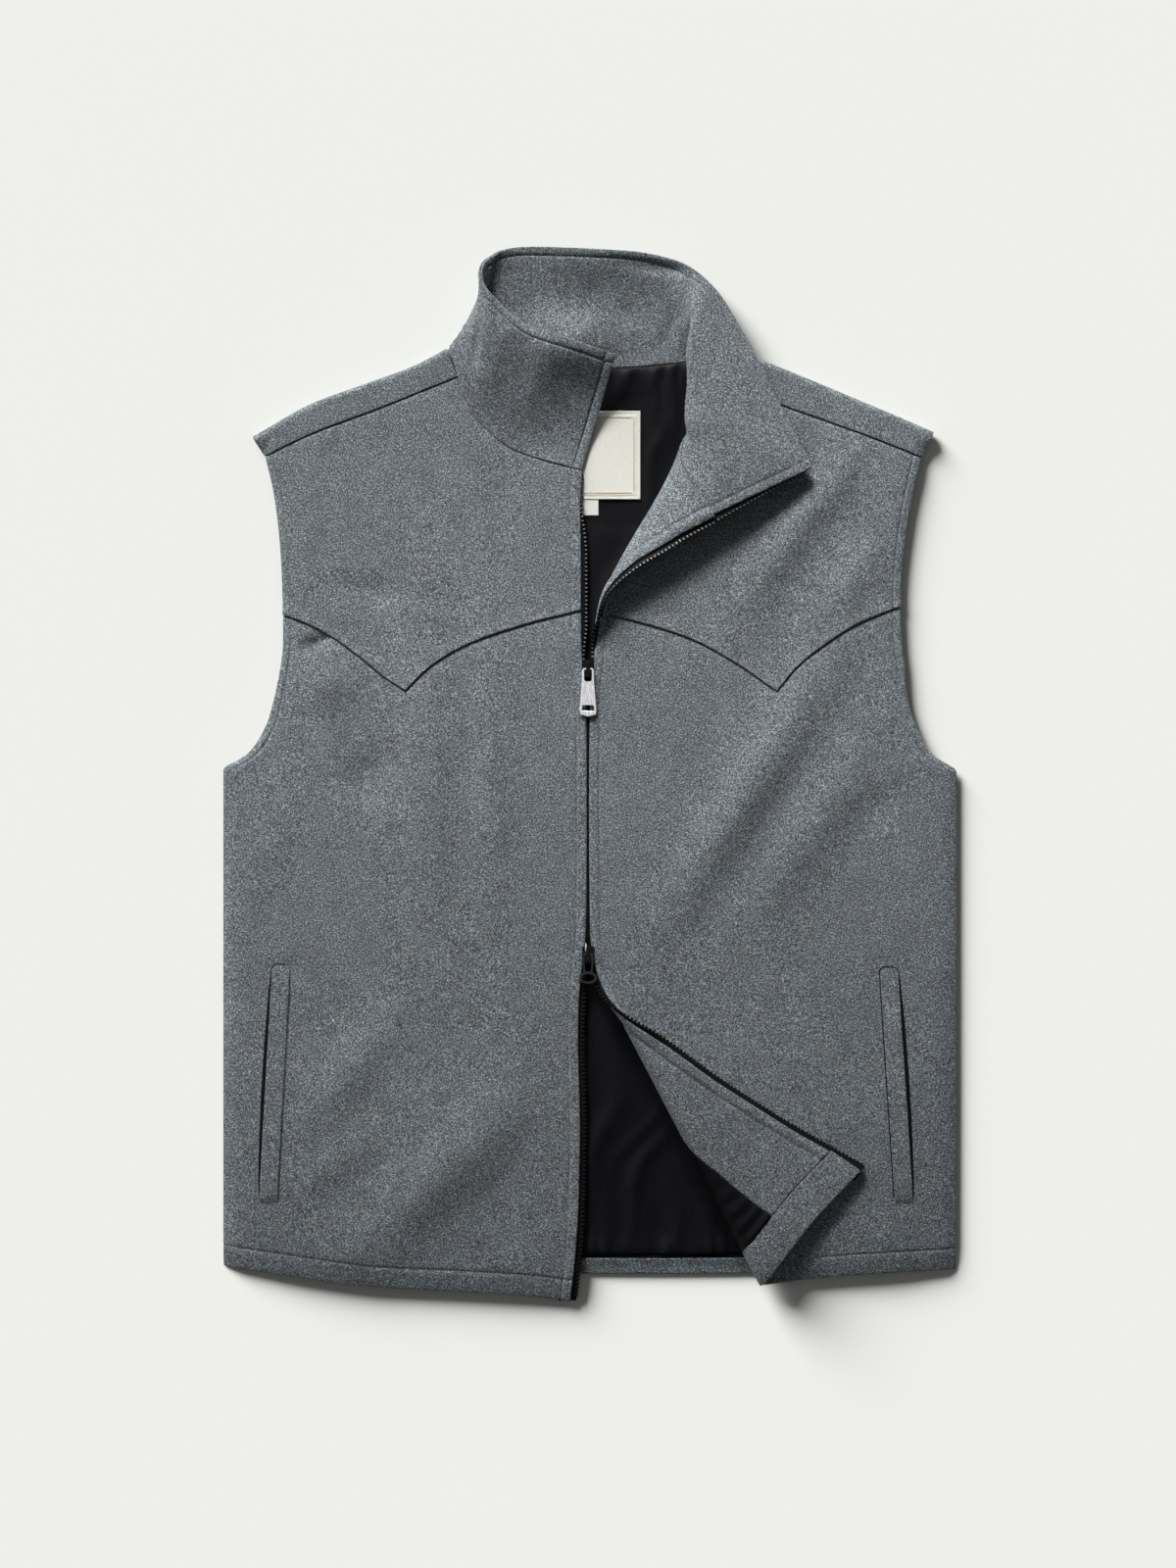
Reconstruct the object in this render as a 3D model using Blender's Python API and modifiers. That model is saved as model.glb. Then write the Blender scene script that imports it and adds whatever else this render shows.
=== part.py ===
# A wool vest lying flat on its back: zip front with pointed yokes, stand-up collar, right lapel turned
# open and right lower corner folded back over the front. Left and right are as seen from above.
import math

import bmesh
import bpy
import numpy as np

MM = 0.001

# Cloth thicknesses and gaps, in millimetres
WOOL = 2.0
TURNING = 1.6
SATIN = 1.0
TAPE = 0.6
SEAM = 0.3
FRONT_Z = 8.0
BACK_Z = WOOL / 2
LINING_Z = WOOL + SEAM + SATIN / 2
COLLAR_OUT = SEAM / 2 + TURNING / 2
INNER_GAP = 1.0
TAPE_GAP = 0.5

# Outlines of the two fronts as they lie flat, in millimetres: x, y
LEFT = {
    "hem": [(-14.9, -402.8), (-50, -398.5), (-91.8, -395.8), (-173.2, -391), (-227.7, -383.8),
            (-280, -376.3)],
    "zip": [(-14.9, -402.8), (-10.1, -356.2), (-7.6, -284.5), (-7.6, -164.3), (-5.8, -146), (-4.0, -127.7),
            (-3.75, -112), (-3.7, -95), (-3.7, 35), (-3.75, 52), (-4.0, 66), (-5.9, 86), (-6.7, 124.4)],
    "zip_top": [(-6.7, 124.4), (-6.9, 177), (-7.4, 205), (-5.6, 232.2)],
    "yoke_in": [(-6.7, 124.4), (-43, 115.4), (-74, 105.8), (-100.1, 95.1), (-123.9, 79.6),
                (-140.7, 62.9)],
    "yoke_out": [(-140.7, 62.9), (-157.3, 73.7), (-176.4, 89.2), (-197.9, 104.6), (-219.2, 115.4),
                 (-234.3, 121)],
    "side": [(-280, -376.3), (-280, -190), (-280, 3.7)],
    "armhole": [(-280, 3.7), (-262.1, 14.2), (-247.2, 36.6), (-241.9, 53.8), (-237.8, 72.4), (-234.7, 91.8),
                (-234.3, 121)],
    "armhole_top": [(-234.3, 121), (-235.4, 156.1), (-238.2, 191.5), (-243.1, 222.5), (-247.9, 241.6)],
    "neck": [(-5.6, 232.2), (-38.1, 240.4), (-62, 249.8), (-78.7, 263), (-93, 282), (-101.3, 302.3)],
    "shoulder": [(-101.3, 302.3), (-157.3, 279.6), (-219.2, 255.8), (-247.9, 241.6)],
    "ridge": [(-109.5, 324.5), (-128.7, 314.1), (-171.7, 297.5), (-212.1, 282.7), (-257.6, 257.2)],
}
RIGHT = {
    "hem": [(13, -404), (60, -396), (131, -390.5), (165.8, -386), (222.5, -381.6), (279.3, -379)],
    "zip": [(13, -404), (17.2, -350), (19.9, -273), (19.1, -220), (16.8, -190), (11, -169), (4.6, -150),
            (1.0, -127.7), (0.75, -112), (0.7, -95), (0.7, 35), (0.75, 52), (1.0, 66), (2.9, 86),
            (3.7, 124.4)],
    "zip_top": [(3.7, 124.4), (3.9, 177), (4.4, 205), (2.6, 232.2)],
    "yoke_in": [(3.7, 124.4), (25.8, 118.2), (54.4, 110.5), (80.6, 101), (106.8, 86.8), (142.5, 62.5)],
    "yoke_out": [(142.5, 62.5), (159.1, 82.1), (178.2, 97.4), (202, 113), (221, 121.3), (236.8, 127.5)],
    "side": [(279.3, -379), (280, -190), (280, 2.2)],
    "armhole": [(280, 2.2), (259.9, 15.7), (248.7, 36.6), (242.5, 56), (240.1, 82.1), (237.7, 103.4),
                (236.8, 127.5)],
    "armhole_top": [(236.8, 127.5), (237.7, 151.1), (241.2, 182.2), (246, 210.6), (253, 241)],
    "neck": [(2.6, 232.2), (35, 240.4), (59, 249.8), (75.7, 263), (90, 282), (100.1, 300.9)],
    "shoulder": [(100.1, 300.9), (146.1, 280.8), (182.9, 267.7), (218.6, 254.6), (253, 241)],
    "ridge": [(106.5, 324), (128.1, 316.6), (173.2, 298.7), (206.8, 284.5), (235.2, 272.6), (262.7, 260.6)],
}

# How a front drops to the back at its outer edge, and lifts at the hem
ROLL_WIDE = 14.0
SIDE_DROP = 4.2
ARM_DROP = 2.6
HEM_LIFT = 5.0

# Broad swells in the fronts: x, y, heading in degrees, half length, half width, height
SWELLS = [
    (120, -6, 58, 110, 15, 6.0),
    (166, -42, 57, 85, 22, 4.4),
    (164, 186, 54, 70, 10, 3.4),
    (200, 160, 54, 60, 14, 3.6),
    (-119, -314, 44, 75, 23, 6.6),
    (-182, -224, 50, 42, 14, 3.2),
    (-208, 86, 22, 24, 10, -2.6),
]

# Lower right corner: the fold shows as a line from FOLD_AT along FOLD_ALONG
FOLD_AT = (6.8, -154.5)
FOLD_ALONG = (0.4645, -0.8855)
FOLD_COVER = 2.5

# Roll of the lower fold: distance along it, radius, degrees it turns over
FOLD = [
    (0, 1.6, 0),
    (20, 3.2, 60),
    (40, 4.6, 118),
    (65, 5.8, 168),
    (95, 6.8, 184),
    (150, 7.0, 187),
    (225, 6.0, 184),
    (270, 6.0, 184),
]
FOLD_RADIUS = 7.0

# Right lapel: it opens from LAPEL_AT, between its turning line on the neck seam and the front edge
LAPEL_AT = (3.0, 92.0)
LAPEL_TURN = (90.0, 282.0)
LAPEL_EDGE = (2.6, 232.2)
LAPEL_LIE = 1.12

# Edge of the open lapel: share of its length, x, y, z, heading back to the roll, degrees it stands up,
# and how far the roll stands out
LAPEL = [
    (0.00, 3.0, 92.0, 8.0, 175, 180, 1.0),
    (0.16, 6.6, 111.8, 12.0, 172, 110, 0.9),
    (0.36, 15.2, 137.7, 18.0, 162, 72, 0.5),
    (0.52, 32.0, 155.5, 21.5, 138, 42, 0.3),
    (0.76, 63.9, 175.8, 23.0, 117, 12, 0.2),
    (1.00, 94.6, 195.6, 22.5, 107, -4, 0.95),
]

# Sections of the collar: what its base is sewn to, x, y, z of its base, middle and rim, and how
# far the section bulges down before the middle and up after it
COLLAR = [
    ("left", -6.2, 232.2, 0, 7, 275, 10.5, 19, 318.4, 18, 0),
    ("left", -30, 238.2, 0, -22, 283, 14, -13.7, 328.5, 22, 0),
    ("left", -55, 246.7, 0, -49, 292, 22, -42.6, 336.8, 25, 0),
    ("left", -74, 258.5, 0, -67, 303, 28, -60.9, 349.1, 31, 0),
    ("left", -89.5, 277.3, 0, -80, 320, 30, -75.4, 363.6, 33, 0),
    ("left", -97.5, 294.5, 0, -84.5, 335, 26, -82.4, 375.7, 29, 0),
    ("strip", -103.6, 315.5, 6.6, -86.5, 349, 18, -82.0, 385, 22, 0),
    ("strip", -107.5, 324.2, 4.2, -86, 357, 10, -76.5, 393, 14, 0),
    ("back", -97, 319.7, 0, -82, 360, 3.5, -66, 399.6, 8, 0),
    ("back", -70, 314.0, 0, -58, 358, 2.0, -46.5, 402, 5.4, 0),
    ("back", -22, 310.4, 0, -14, 356, 1.8, -5.6, 400.7, 5, 0),
    ("back", 25, 311.3, 0, 30, 356, 2.0, 35.4, 398.2, 5.2, 0),
    ("back", 60, 314.1, 0, 60, 355, 4.5, 60, 393, 8, 0),
    ("back", 85, 318, 0, 75, 351, 12, 79, 383.5, 9.5, 2),
    ("strip", 103.2, 323.0, 4.2, 79, 341, 18, 97, 366.5, 12, 6),
    ("strip", 103.4, 313.5, 6.6, 75, 322, 19.5, 111.5, 344, 13, 10),
    ("right", 98, 295, 0, 76.5, 300, 20, 125.5, 319, 14, 11),
    ("right", 89, 279.5, 0, 78, 280, 21, 138.5, 292.5, 14.5, 12),
    ("right", 78, 267.8, 0, 84, 263, 24, 148.5, 272, 15, 8),
    ("right", 50, 245.8, 0, 102, 246, 25, 155.5, 258, 16, 2),
    ("right", 24, 237.8, 0, 117, 235, 25, 162, 245, 17, 0),
    ("right", 3.2, 232.2, 0, 131, 214, 22.5, 168.9, 232, 18.5, 0),
]
COLLAR_START = 0.018

# Pieces on the back
BACK_SIDE = 277.5
BACK_UNDERARM = 2.0
BACK_HEM = [(-277.5, -373.5), (-170, -380.4), (-14, -382.7), (130, -382.2), (277.5, -376)]
BACK_BAND = 12.5
BACK_NECK = [(-95, 319.2), (-70, 314.6), (-22, 311), (25, 311.9), (60, 314.7), (85, 318.3)]
STRIP_RADIUS = (FRONT_Z - BACK_Z) / 2
LINING_INSET = 12.0
LABEL_SIZE = (80.0, 67.6)
LABEL_AT = (-1.5, 243.0)
SIZE_TAB = (16.0, 12.0)

# Pieces inside the right front
BAND_WIDE = 27.4
FACING_WIDE = [(-405, 66), (-370, 64), (-327, 59), (-277, 50), (-200, 48), (20, 56), (170, 84), (260, 84)]

# Pocket welts: middle of the top and of the bottom, x, y
WELT_WIDE = 14.0
WELT_LEFT = [(-235.4, -146.2), (-245, -328.1)]
WELT_RIGHT = [(227.9, -148.4), (239.2, -328.5)]
WELT_THICK = 1.2

# Zip: middle line, and the tape that shows beside the wool where it is closed and where it is open
ZIP_X = -1.5
TAPE_CLOSED = 1.5
TAPE_OPEN = 4.5
ZIP_THICK = 1.8
ZIP_DROP = 0.4

# Sliders: place along the zip of the bail's bar, and the way the zip opens beyond it
SLIDER_UPPER = 79.5
SLIDER_LOWER = -138.0
SLIDER_WIDE = 9.0
SLIDER_LONG = 13.0
PLATE = 1.2
PLATE_Z = FRONT_Z + WOOL / 2 + SEAM
LOW_PLATE_Z = 3.55
LOW_PLATE = 0.6
POST = (2.2, 2.4)
BAIL = (3.0, 11.0, 3.2, 1.0)
BAR = 1.2
BAR_Z = PLATE_Z + PLATE + 1.0

# Upper pull: half outlines of its plate, of the loop cut in it and of its slot, x and y below the bar's top
PULL_PLATE = [(3.2, 0), (4.65, 1.6), (4.65, 9.6), (6.5, 32), (5.9, 35.4), (0, 37)]
PULL_LOOP = [(2.9, 1.2), (2.9, 9.2), (1.8, 10.2)]
PULL_SLOT = [(3.7, 28.2), (4.6, 29), (4.6, 32.4)]

# Lower pull: oval ring with its width, depth and bar, and half outlines of its legs and the window between
RING = (14.0, 9.0, 2.0)
RING_LONG = 23.0
RING_LEGS = [(3.6, 0), (4.1, 6.6), (3.4, 15.2)]
RING_WINDOW = [(2.4, 1.2), (2.7, 6.6), (2.0, 13.6)]


def ease(t):
    t = min(max(t, 0.0), 1.0)
    return t * t * (3 - 2 * t)


def through(rows, at=None):
    """A smooth curve through the rows, as a function of the share along it."""
    rows = np.array(rows, float)
    if at is None:
        at = np.concatenate([[0], np.cumsum(np.linalg.norm(np.diff(rows, axis=0), axis=1))])
    at = np.array(at, float)
    at = (at - at[0]) / (at[-1] - at[0])
    slopes = np.gradient(rows, at, axis=0)

    def place(share):
        k = int(np.clip(np.searchsorted(at, share, "right") - 1, 0, len(at) - 2))
        span = at[k + 1] - at[k]
        t = (share - at[k]) / span
        return (rows[k] * (1 + 2 * t) * (1 - t) ** 2 + rows[k + 1] * t * t * (3 - 2 * t)
                + span * (slopes[k] * t * (1 - t) ** 2 - slopes[k + 1] * t * t * (1 - t)))

    return place


def joined(first, second, share):
    """Two curves end to end, meeting at this share of the whole."""
    return lambda t: first(t / share) if t <= share else second((t - share) / (1 - share))


def straight(a, b):
    a, b = np.array(a, float), np.array(b, float)
    return lambda t: a + (b - a) * t


def patch(low, high, near, far):
    """The flat piece between four edges that meet at its corners."""

    def place(u, v):
        corner = ((1 - u) * (1 - v) * low(0) + u * (1 - v) * low(1)
                  + (1 - u) * v * high(0) + u * v * high(1))
        return (1 - v) * low(u) + v * high(u) + (1 - u) * near(v) + u * far(v) - corner

    return place


def outer_edge(front, y):
    """How far out the side and armhole edge lies at this height on a front."""
    rows = [front["side"][0]] + front["armhole"] + front["armhole_top"][1:]
    return np.interp(y, [row[1] for row in rows], [abs(row[0]) for row in rows])


def front_z(front, x, y, swells=()):
    """Height of the middle of a front's wool where it lies on the back."""
    inside = outer_edge(front, y) - abs(x)
    drop = SIDE_DROP + (ARM_DROP - SIDE_DROP) * ease((y - 5) / 25)
    z = FRONT_Z - drop * max(0.0, 1 - inside / ROLL_WIDE) ** 2
    still = ease(inside / 40) * ease((abs(x - ZIP_X) - 12) / 40)
    z += HEM_LIFT * ease((-y - 290) / 100) * ease(inside / 60)
    for at_x, at_y, heading, long, wide, high in swells:
        turn = math.radians(heading)
        along = (x - at_x) * math.cos(turn) + (y - at_y) * math.sin(turn)
        across = (y - at_y) * math.cos(turn) - (x - at_x) * math.sin(turn)
        z += still * high * math.exp(-(along / long) ** 2 - (across / wide) ** 2)
    return z


def left_front(x, y):
    return np.array((x, y, front_z(LEFT, x, y, SWELLS)))


lapel_edge = through([row[1:4] for row in LAPEL], [row[0] for row in LAPEL])
lapel_pose = through([row[4:] for row in LAPEL], [row[0] for row in LAPEL])


def lapel_shares(x, y):
    """Share up the lapel from its lowest point, and share across it from the turning line to the edge."""
    ax, ay = LAPEL_TURN[0] - LAPEL_AT[0], LAPEL_TURN[1] - LAPEL_AT[1]
    bx, by = LAPEL_EDGE[0] - LAPEL_AT[0], LAPEL_EDGE[1] - LAPEL_AT[1]
    dx, dy = x - LAPEL_AT[0], y - LAPEL_AT[1]
    to_turn = (dx * by - dy * bx) / (ax * by - ay * bx)
    to_edge = (ax * dy - ay * dx) / (ax * by - ay * bx)
    up = to_turn + to_edge
    return up, to_edge / up if up > 1e-6 else 0.0


def lapel(up, over):
    """The open lapel: each section leaves the front along it and rolls over to the edge."""
    turn = np.array(LAPEL_AT) + up * (np.array(LAPEL_TURN) - LAPEL_AT)
    way = np.array(LAPEL_EDGE, float) - LAPEL_TURN
    wide = up * np.linalg.norm(way)
    way = np.append(way / np.linalg.norm(way), 0.0)
    heading, stand, stands_out = lapel_pose(min(up, 1.0))
    heading, stand = math.radians(heading), math.radians(stand)
    level = math.cos(stand)
    back = np.array((math.cos(heading) * level, math.sin(heading) * level, -math.sin(stand)))
    start = np.append(turn, front_z(RIGHT, *turn))
    edge = lapel_edge(up)
    shaped = ease(up / 0.5)
    a = start + way * wide * stands_out / 3
    b = edge + back * wide * (1 + (LAPEL_LIE - 1) * shaped) / 3
    t = min(over, 1.0)
    place = start * (1 - t) ** 3 + 3 * a * t * (1 - t) ** 2 + 3 * b * t * t * (1 - t) + edge * t ** 3
    return place + (edge - b) * 3 * max(0.0, over - 1)


def fold_place(x, y):
    """How far a point lies along the lower fold, and how far beyond its line towards the zip."""
    dx, dy = x - FOLD_AT[0], y - FOLD_AT[1]
    return dx * FOLD_ALONG[0] + dy * FOLD_ALONG[1], dx * FOLD_ALONG[1] - dy * FOLD_ALONG[0]


fold_roll = through([row[1:] for row in FOLD], [row[0] for row in FOLD])


def lower_fold(x, y):
    """The lower corner turned back over the front: flat by the zip slider, then turned right over."""
    along, beyond = fold_place(x, y)
    radius, turn = fold_roll(min(max(along / FOLD[-1][0], 0.0), 1.0))
    turn = math.radians(turn)
    before = radius + FOLD_COVER * ease(along / 40)
    out = beyond + before
    if out <= 0 or along <= 0:
        return None
    rolled = min(out, radius * turn)
    angle = rolled / radius
    side = radius * math.sin(angle) + (out - rolled) * math.cos(turn) - before
    up = radius * (1 - math.cos(angle)) + (out - rolled) * math.sin(turn)
    foot = np.array(FOLD_AT) + along * np.array(FOLD_ALONG)
    left = np.array((FOLD_ALONG[1], -FOLD_ALONG[0]))
    return np.append(foot + side * left, front_z(RIGHT, *(foot - before * left)) + up)


def right_front(x, y, swells=SWELLS):
    up, over = lapel_shares(x, y)
    if up > 0 and over > 0 and y > LAPEL_AT[1]:
        return lapel(up, over)
    folded = lower_fold(x, y) if y < FOLD_AT[1] else None
    return np.array((x, y, front_z(RIGHT, x, y, swells))) if folded is None else folded


def right_inner(x, y):
    return right_front(x, y, ())


def moved_out(surface, x, y, out):
    """A point this far out of the surface, on the side that faces away from the wearer."""
    h = 0.4
    across = surface(x + h, y) - surface(x - h, y)
    along = surface(x, y + h) - surface(x, y - h)
    normal = np.cross(across, along)
    return surface(x, y) + normal * (out / np.linalg.norm(normal))


def on_lapel(x, y):
    up, over = lapel_shares(x, y)
    return y > LAPEL_AT[1] and up > 0 and over > 0


def on_fold(x, y):
    along, beyond = fold_place(x, y)
    return along > -2 and beyond > -FOLD_RADIUS - FOLD_COVER


def on_twist(x, y):
    return on_fold(x, y) and fold_place(x, y)[0] < 75


def fold_cuts():
    """Lines that a piece of the right front is cut along to roll smoothly: a point, a way across, where."""
    cuts = []
    left = np.array((FOLD_ALONG[1], -FOLD_ALONG[0]))
    chord = np.array(LAPEL_EDGE) - LAPEL_TURN
    for share in (0.005, 0.08, 0.16, 0.24, 0.32, 0.4, 0.48, 0.58, 0.7, 0.84):
        way = np.array(LAPEL_TURN) + share * chord - LAPEL_AT
        cuts.append((LAPEL_AT, (-way[1], way[0]), on_lapel if share > 0.01 else None))
    for share in np.linspace(0.06, 0.98, 14):
        at = np.array(LAPEL_AT) + share * (np.array(LAPEL_TURN) - LAPEL_AT)
        cuts.append((at, (-chord[1], chord[0]), on_lapel))
    for step in range(8):
        beyond = FOLD_RADIUS * math.pi * step / 7 - FOLD_RADIUS - FOLD_COVER
        cuts.append((np.array(FOLD_AT) + beyond * left, left, on_fold if step else None))
    for beyond in (17,):
        cuts.append((np.array(FOLD_AT) + beyond * left, left, on_twist))
    for along in np.linspace(0, 84, 9):
        cuts.append((np.array(FOLD_AT) + along * np.array(FOLD_ALONG), FOLD_ALONG, on_fold))
    return cuts


def new_object(name, mesh, finish, thick=0.0, side=0.0):
    data = bpy.data.meshes.new(name)
    mesh.to_mesh(data)
    mesh.free()
    thing = bpy.data.objects.new(name, data)
    vest.objects.link(thing)
    data.materials.append(finish)
    if thick:
        solidify = thing.modifiers.new("cloth", "SOLIDIFY")
        solidify.thickness = thick * MM
        solidify.offset = side
    return thing


def grid(columns, rows):
    mesh = bmesh.new()
    bmesh.ops.create_grid(mesh, x_segments=columns, y_segments=rows, size=0.5)
    return mesh


def cloth(name, flat, columns, rows, surface, out, thick, finish, cuts=()):
    """A piece of cloth: its flat cut laid on a surface of the garment, moved out by this much."""
    mesh = grid(columns, rows)
    for vertex in mesh.verts:
        x, y = flat(vertex.co.x + 0.5, vertex.co.y + 0.5)
        vertex.co = (x, y, 0)
    mesh.normal_update()
    if sum(face.normal.z for face in mesh.faces) < 0:
        bmesh.ops.reverse_faces(mesh, faces=mesh.faces[:])
    for at, across, where in cuts:
        faces = [f for f in mesh.faces if where is None or where(*f.calc_center_median().xy)]
        edges = list({edge for face in faces for edge in face.edges})
        corners = list({corner for face in faces for corner in face.verts})
        bmesh.ops.bisect_plane(mesh, geom=corners + edges + faces, dist=0.05,
                               plane_co=(at[0], at[1], 0), plane_no=(across[0], across[1], 0))
    for vertex in mesh.verts:
        vertex.co = moved_out(surface, vertex.co.x, vertex.co.y, out) * MM
    return new_object(name, mesh, finish, thick)


def material(name, colour, roughness, metallic):
    made = bpy.data.materials.new(name)
    made.use_nodes = True
    shader = made.node_tree.nodes["Principled BSDF"]
    shader.inputs["Base Color"].default_value = (*colour, 1)
    shader.inputs["Roughness"].default_value = roughness
    shader.inputs["Metallic"].default_value = metallic
    return made


def front_pieces(side, front, surface, cuts):
    """Body and yoke of one front, and the zip tape along its edge."""
    hem, zip_edge = through(front["hem"]), through(front["zip"])
    yoke = joined(through(front["yoke_in"]), through(front["yoke_out"]), 0.6)
    outer = joined(through(front["side"]), through(front["armhole"]), 0.7)
    body = patch(hem, yoke, zip_edge, outer)
    top = joined(through(front["neck"]), through(front["shoulder"]), 0.5)
    upper = patch(yoke, top, through(front["zip_top"]), through(front["armhole_top"]))
    gap = SEAM * 0.9

    def lower_cut(u, v):
        return body(u, v) - (0, gap * v)

    def upper_cut(u, v):
        return upper(u, v) + (0, gap * (1 - v))

    cloth(f"front_{side}_body", lower_cut, 15, 18, surface, 0, WOOL, wool, cuts)
    cloth(f"front_{side}_yoke", upper_cut, 20, 8, surface, 0, WOOL, wool, cuts)
    sign = -1 if side == "left" else 1
    whole = joined(zip_edge, through(front["zip_top"]), 0.83)

    def tape(u, v):
        x, y = whole(v)
        open_by = max(ease((y - 84) / 30), ease((-y - 143) / 30))
        wide = TAPE_CLOSED + (TAPE_OPEN - TAPE_CLOSED) * open_by
        beside = TAPE_GAP + 0.9 * math.exp(-((y - LAPEL_AT[1] - 1) / 9) ** 2)
        beside += 1.1 * math.exp(-((y + 181) / 14) ** 2)
        return x - sign * (beside + u * wide), y

    cloth(f"zip_tape_{side}", tape, 1, 48, surface, -ZIP_DROP, ZIP_THICK, zip_black, cuts)


def strip(bottom, top, wide):
    """A flat piece this wide with level ends, from the middle of its bottom to the middle of its top."""
    middle = straight(bottom, top)
    return lambda u, v: middle(v) + ((u - 0.5) * wide, 0)


def welt(name, ends, surface):
    top, bottom = ends
    over = WOOL / 2 + SEAM + WELT_THICK / 2
    cloth(name, strip(bottom, top, WELT_WIDE), 2, 12, surface, over, WELT_THICK, wool)


def along_rows(rows, at, give):
    """One coordinate of an edge at a value of the other: give 0 for x at this y, 1 for y at this x."""
    return np.interp(at, [row[1 - give] for row in rows], [row[give] for row in rows])


def right_inside(cuts):
    """Hem turning, facing and lining under the right front, which show on the turned parts."""
    hem = through(RIGHT["hem"])
    out = -(WOOL / 2 + INNER_GAP + TURNING / 2)
    inset = 18.0
    zip_rows = RIGHT["zip"] + RIGHT["zip_top"][1:]

    def band(u, v):
        x, y = hem(0.002 + 0.92 * u)
        return x, y + 0.4 + v * (BAND_WIDE - 0.4)

    cloth("hem_band_right", band, 20, 1, right_inner, out, TURNING, wool, cuts)

    facing_wide = through([row[1:] for row in FACING_WIDE], [row[0] for row in FACING_WIDE])
    first, last = FACING_WIDE[0][0], FACING_WIDE[-1][0]

    def facing_x(y, u):
        return along_rows(zip_rows, y, 0) + 0.4 + u * facing_wide((y - first) / (last - first))[0]

    def above_band(x):
        return along_rows(RIGHT["hem"], x, 1) + BAND_WIDE + 0.8

    def facing(u, v):
        low = above_band(facing_x(-375, u))
        high = along_rows(RIGHT["neck"], facing_x(240, u), 1) - 0.5
        y = low + (high - low) * v
        return facing_x(y, u), y

    cloth("facing_right", facing, 5, 14, right_inner, out, TURNING, wool, cuts)

    def lining(u, v):
        guess = -350 + v * 600
        for _ in range(3):
            near = facing_x(guess, 1) + 1.6
            far = outer_edge(RIGHT, min(guess, 235)) - inset
            x = near + (far - near) * u
            low = above_band(x)
            high = min(along_rows(RIGHT["shoulder"], x, 1), along_rows(RIGHT["neck"], x, 1)) - 9
            guess = low + (high - low) * v
        return x, guess

    out = -(WOOL / 2 + INNER_GAP + SATIN / 2)
    cloth("lining_right", lining, 8, 14, right_inner, out, SATIN, satin, cuts)


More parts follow.
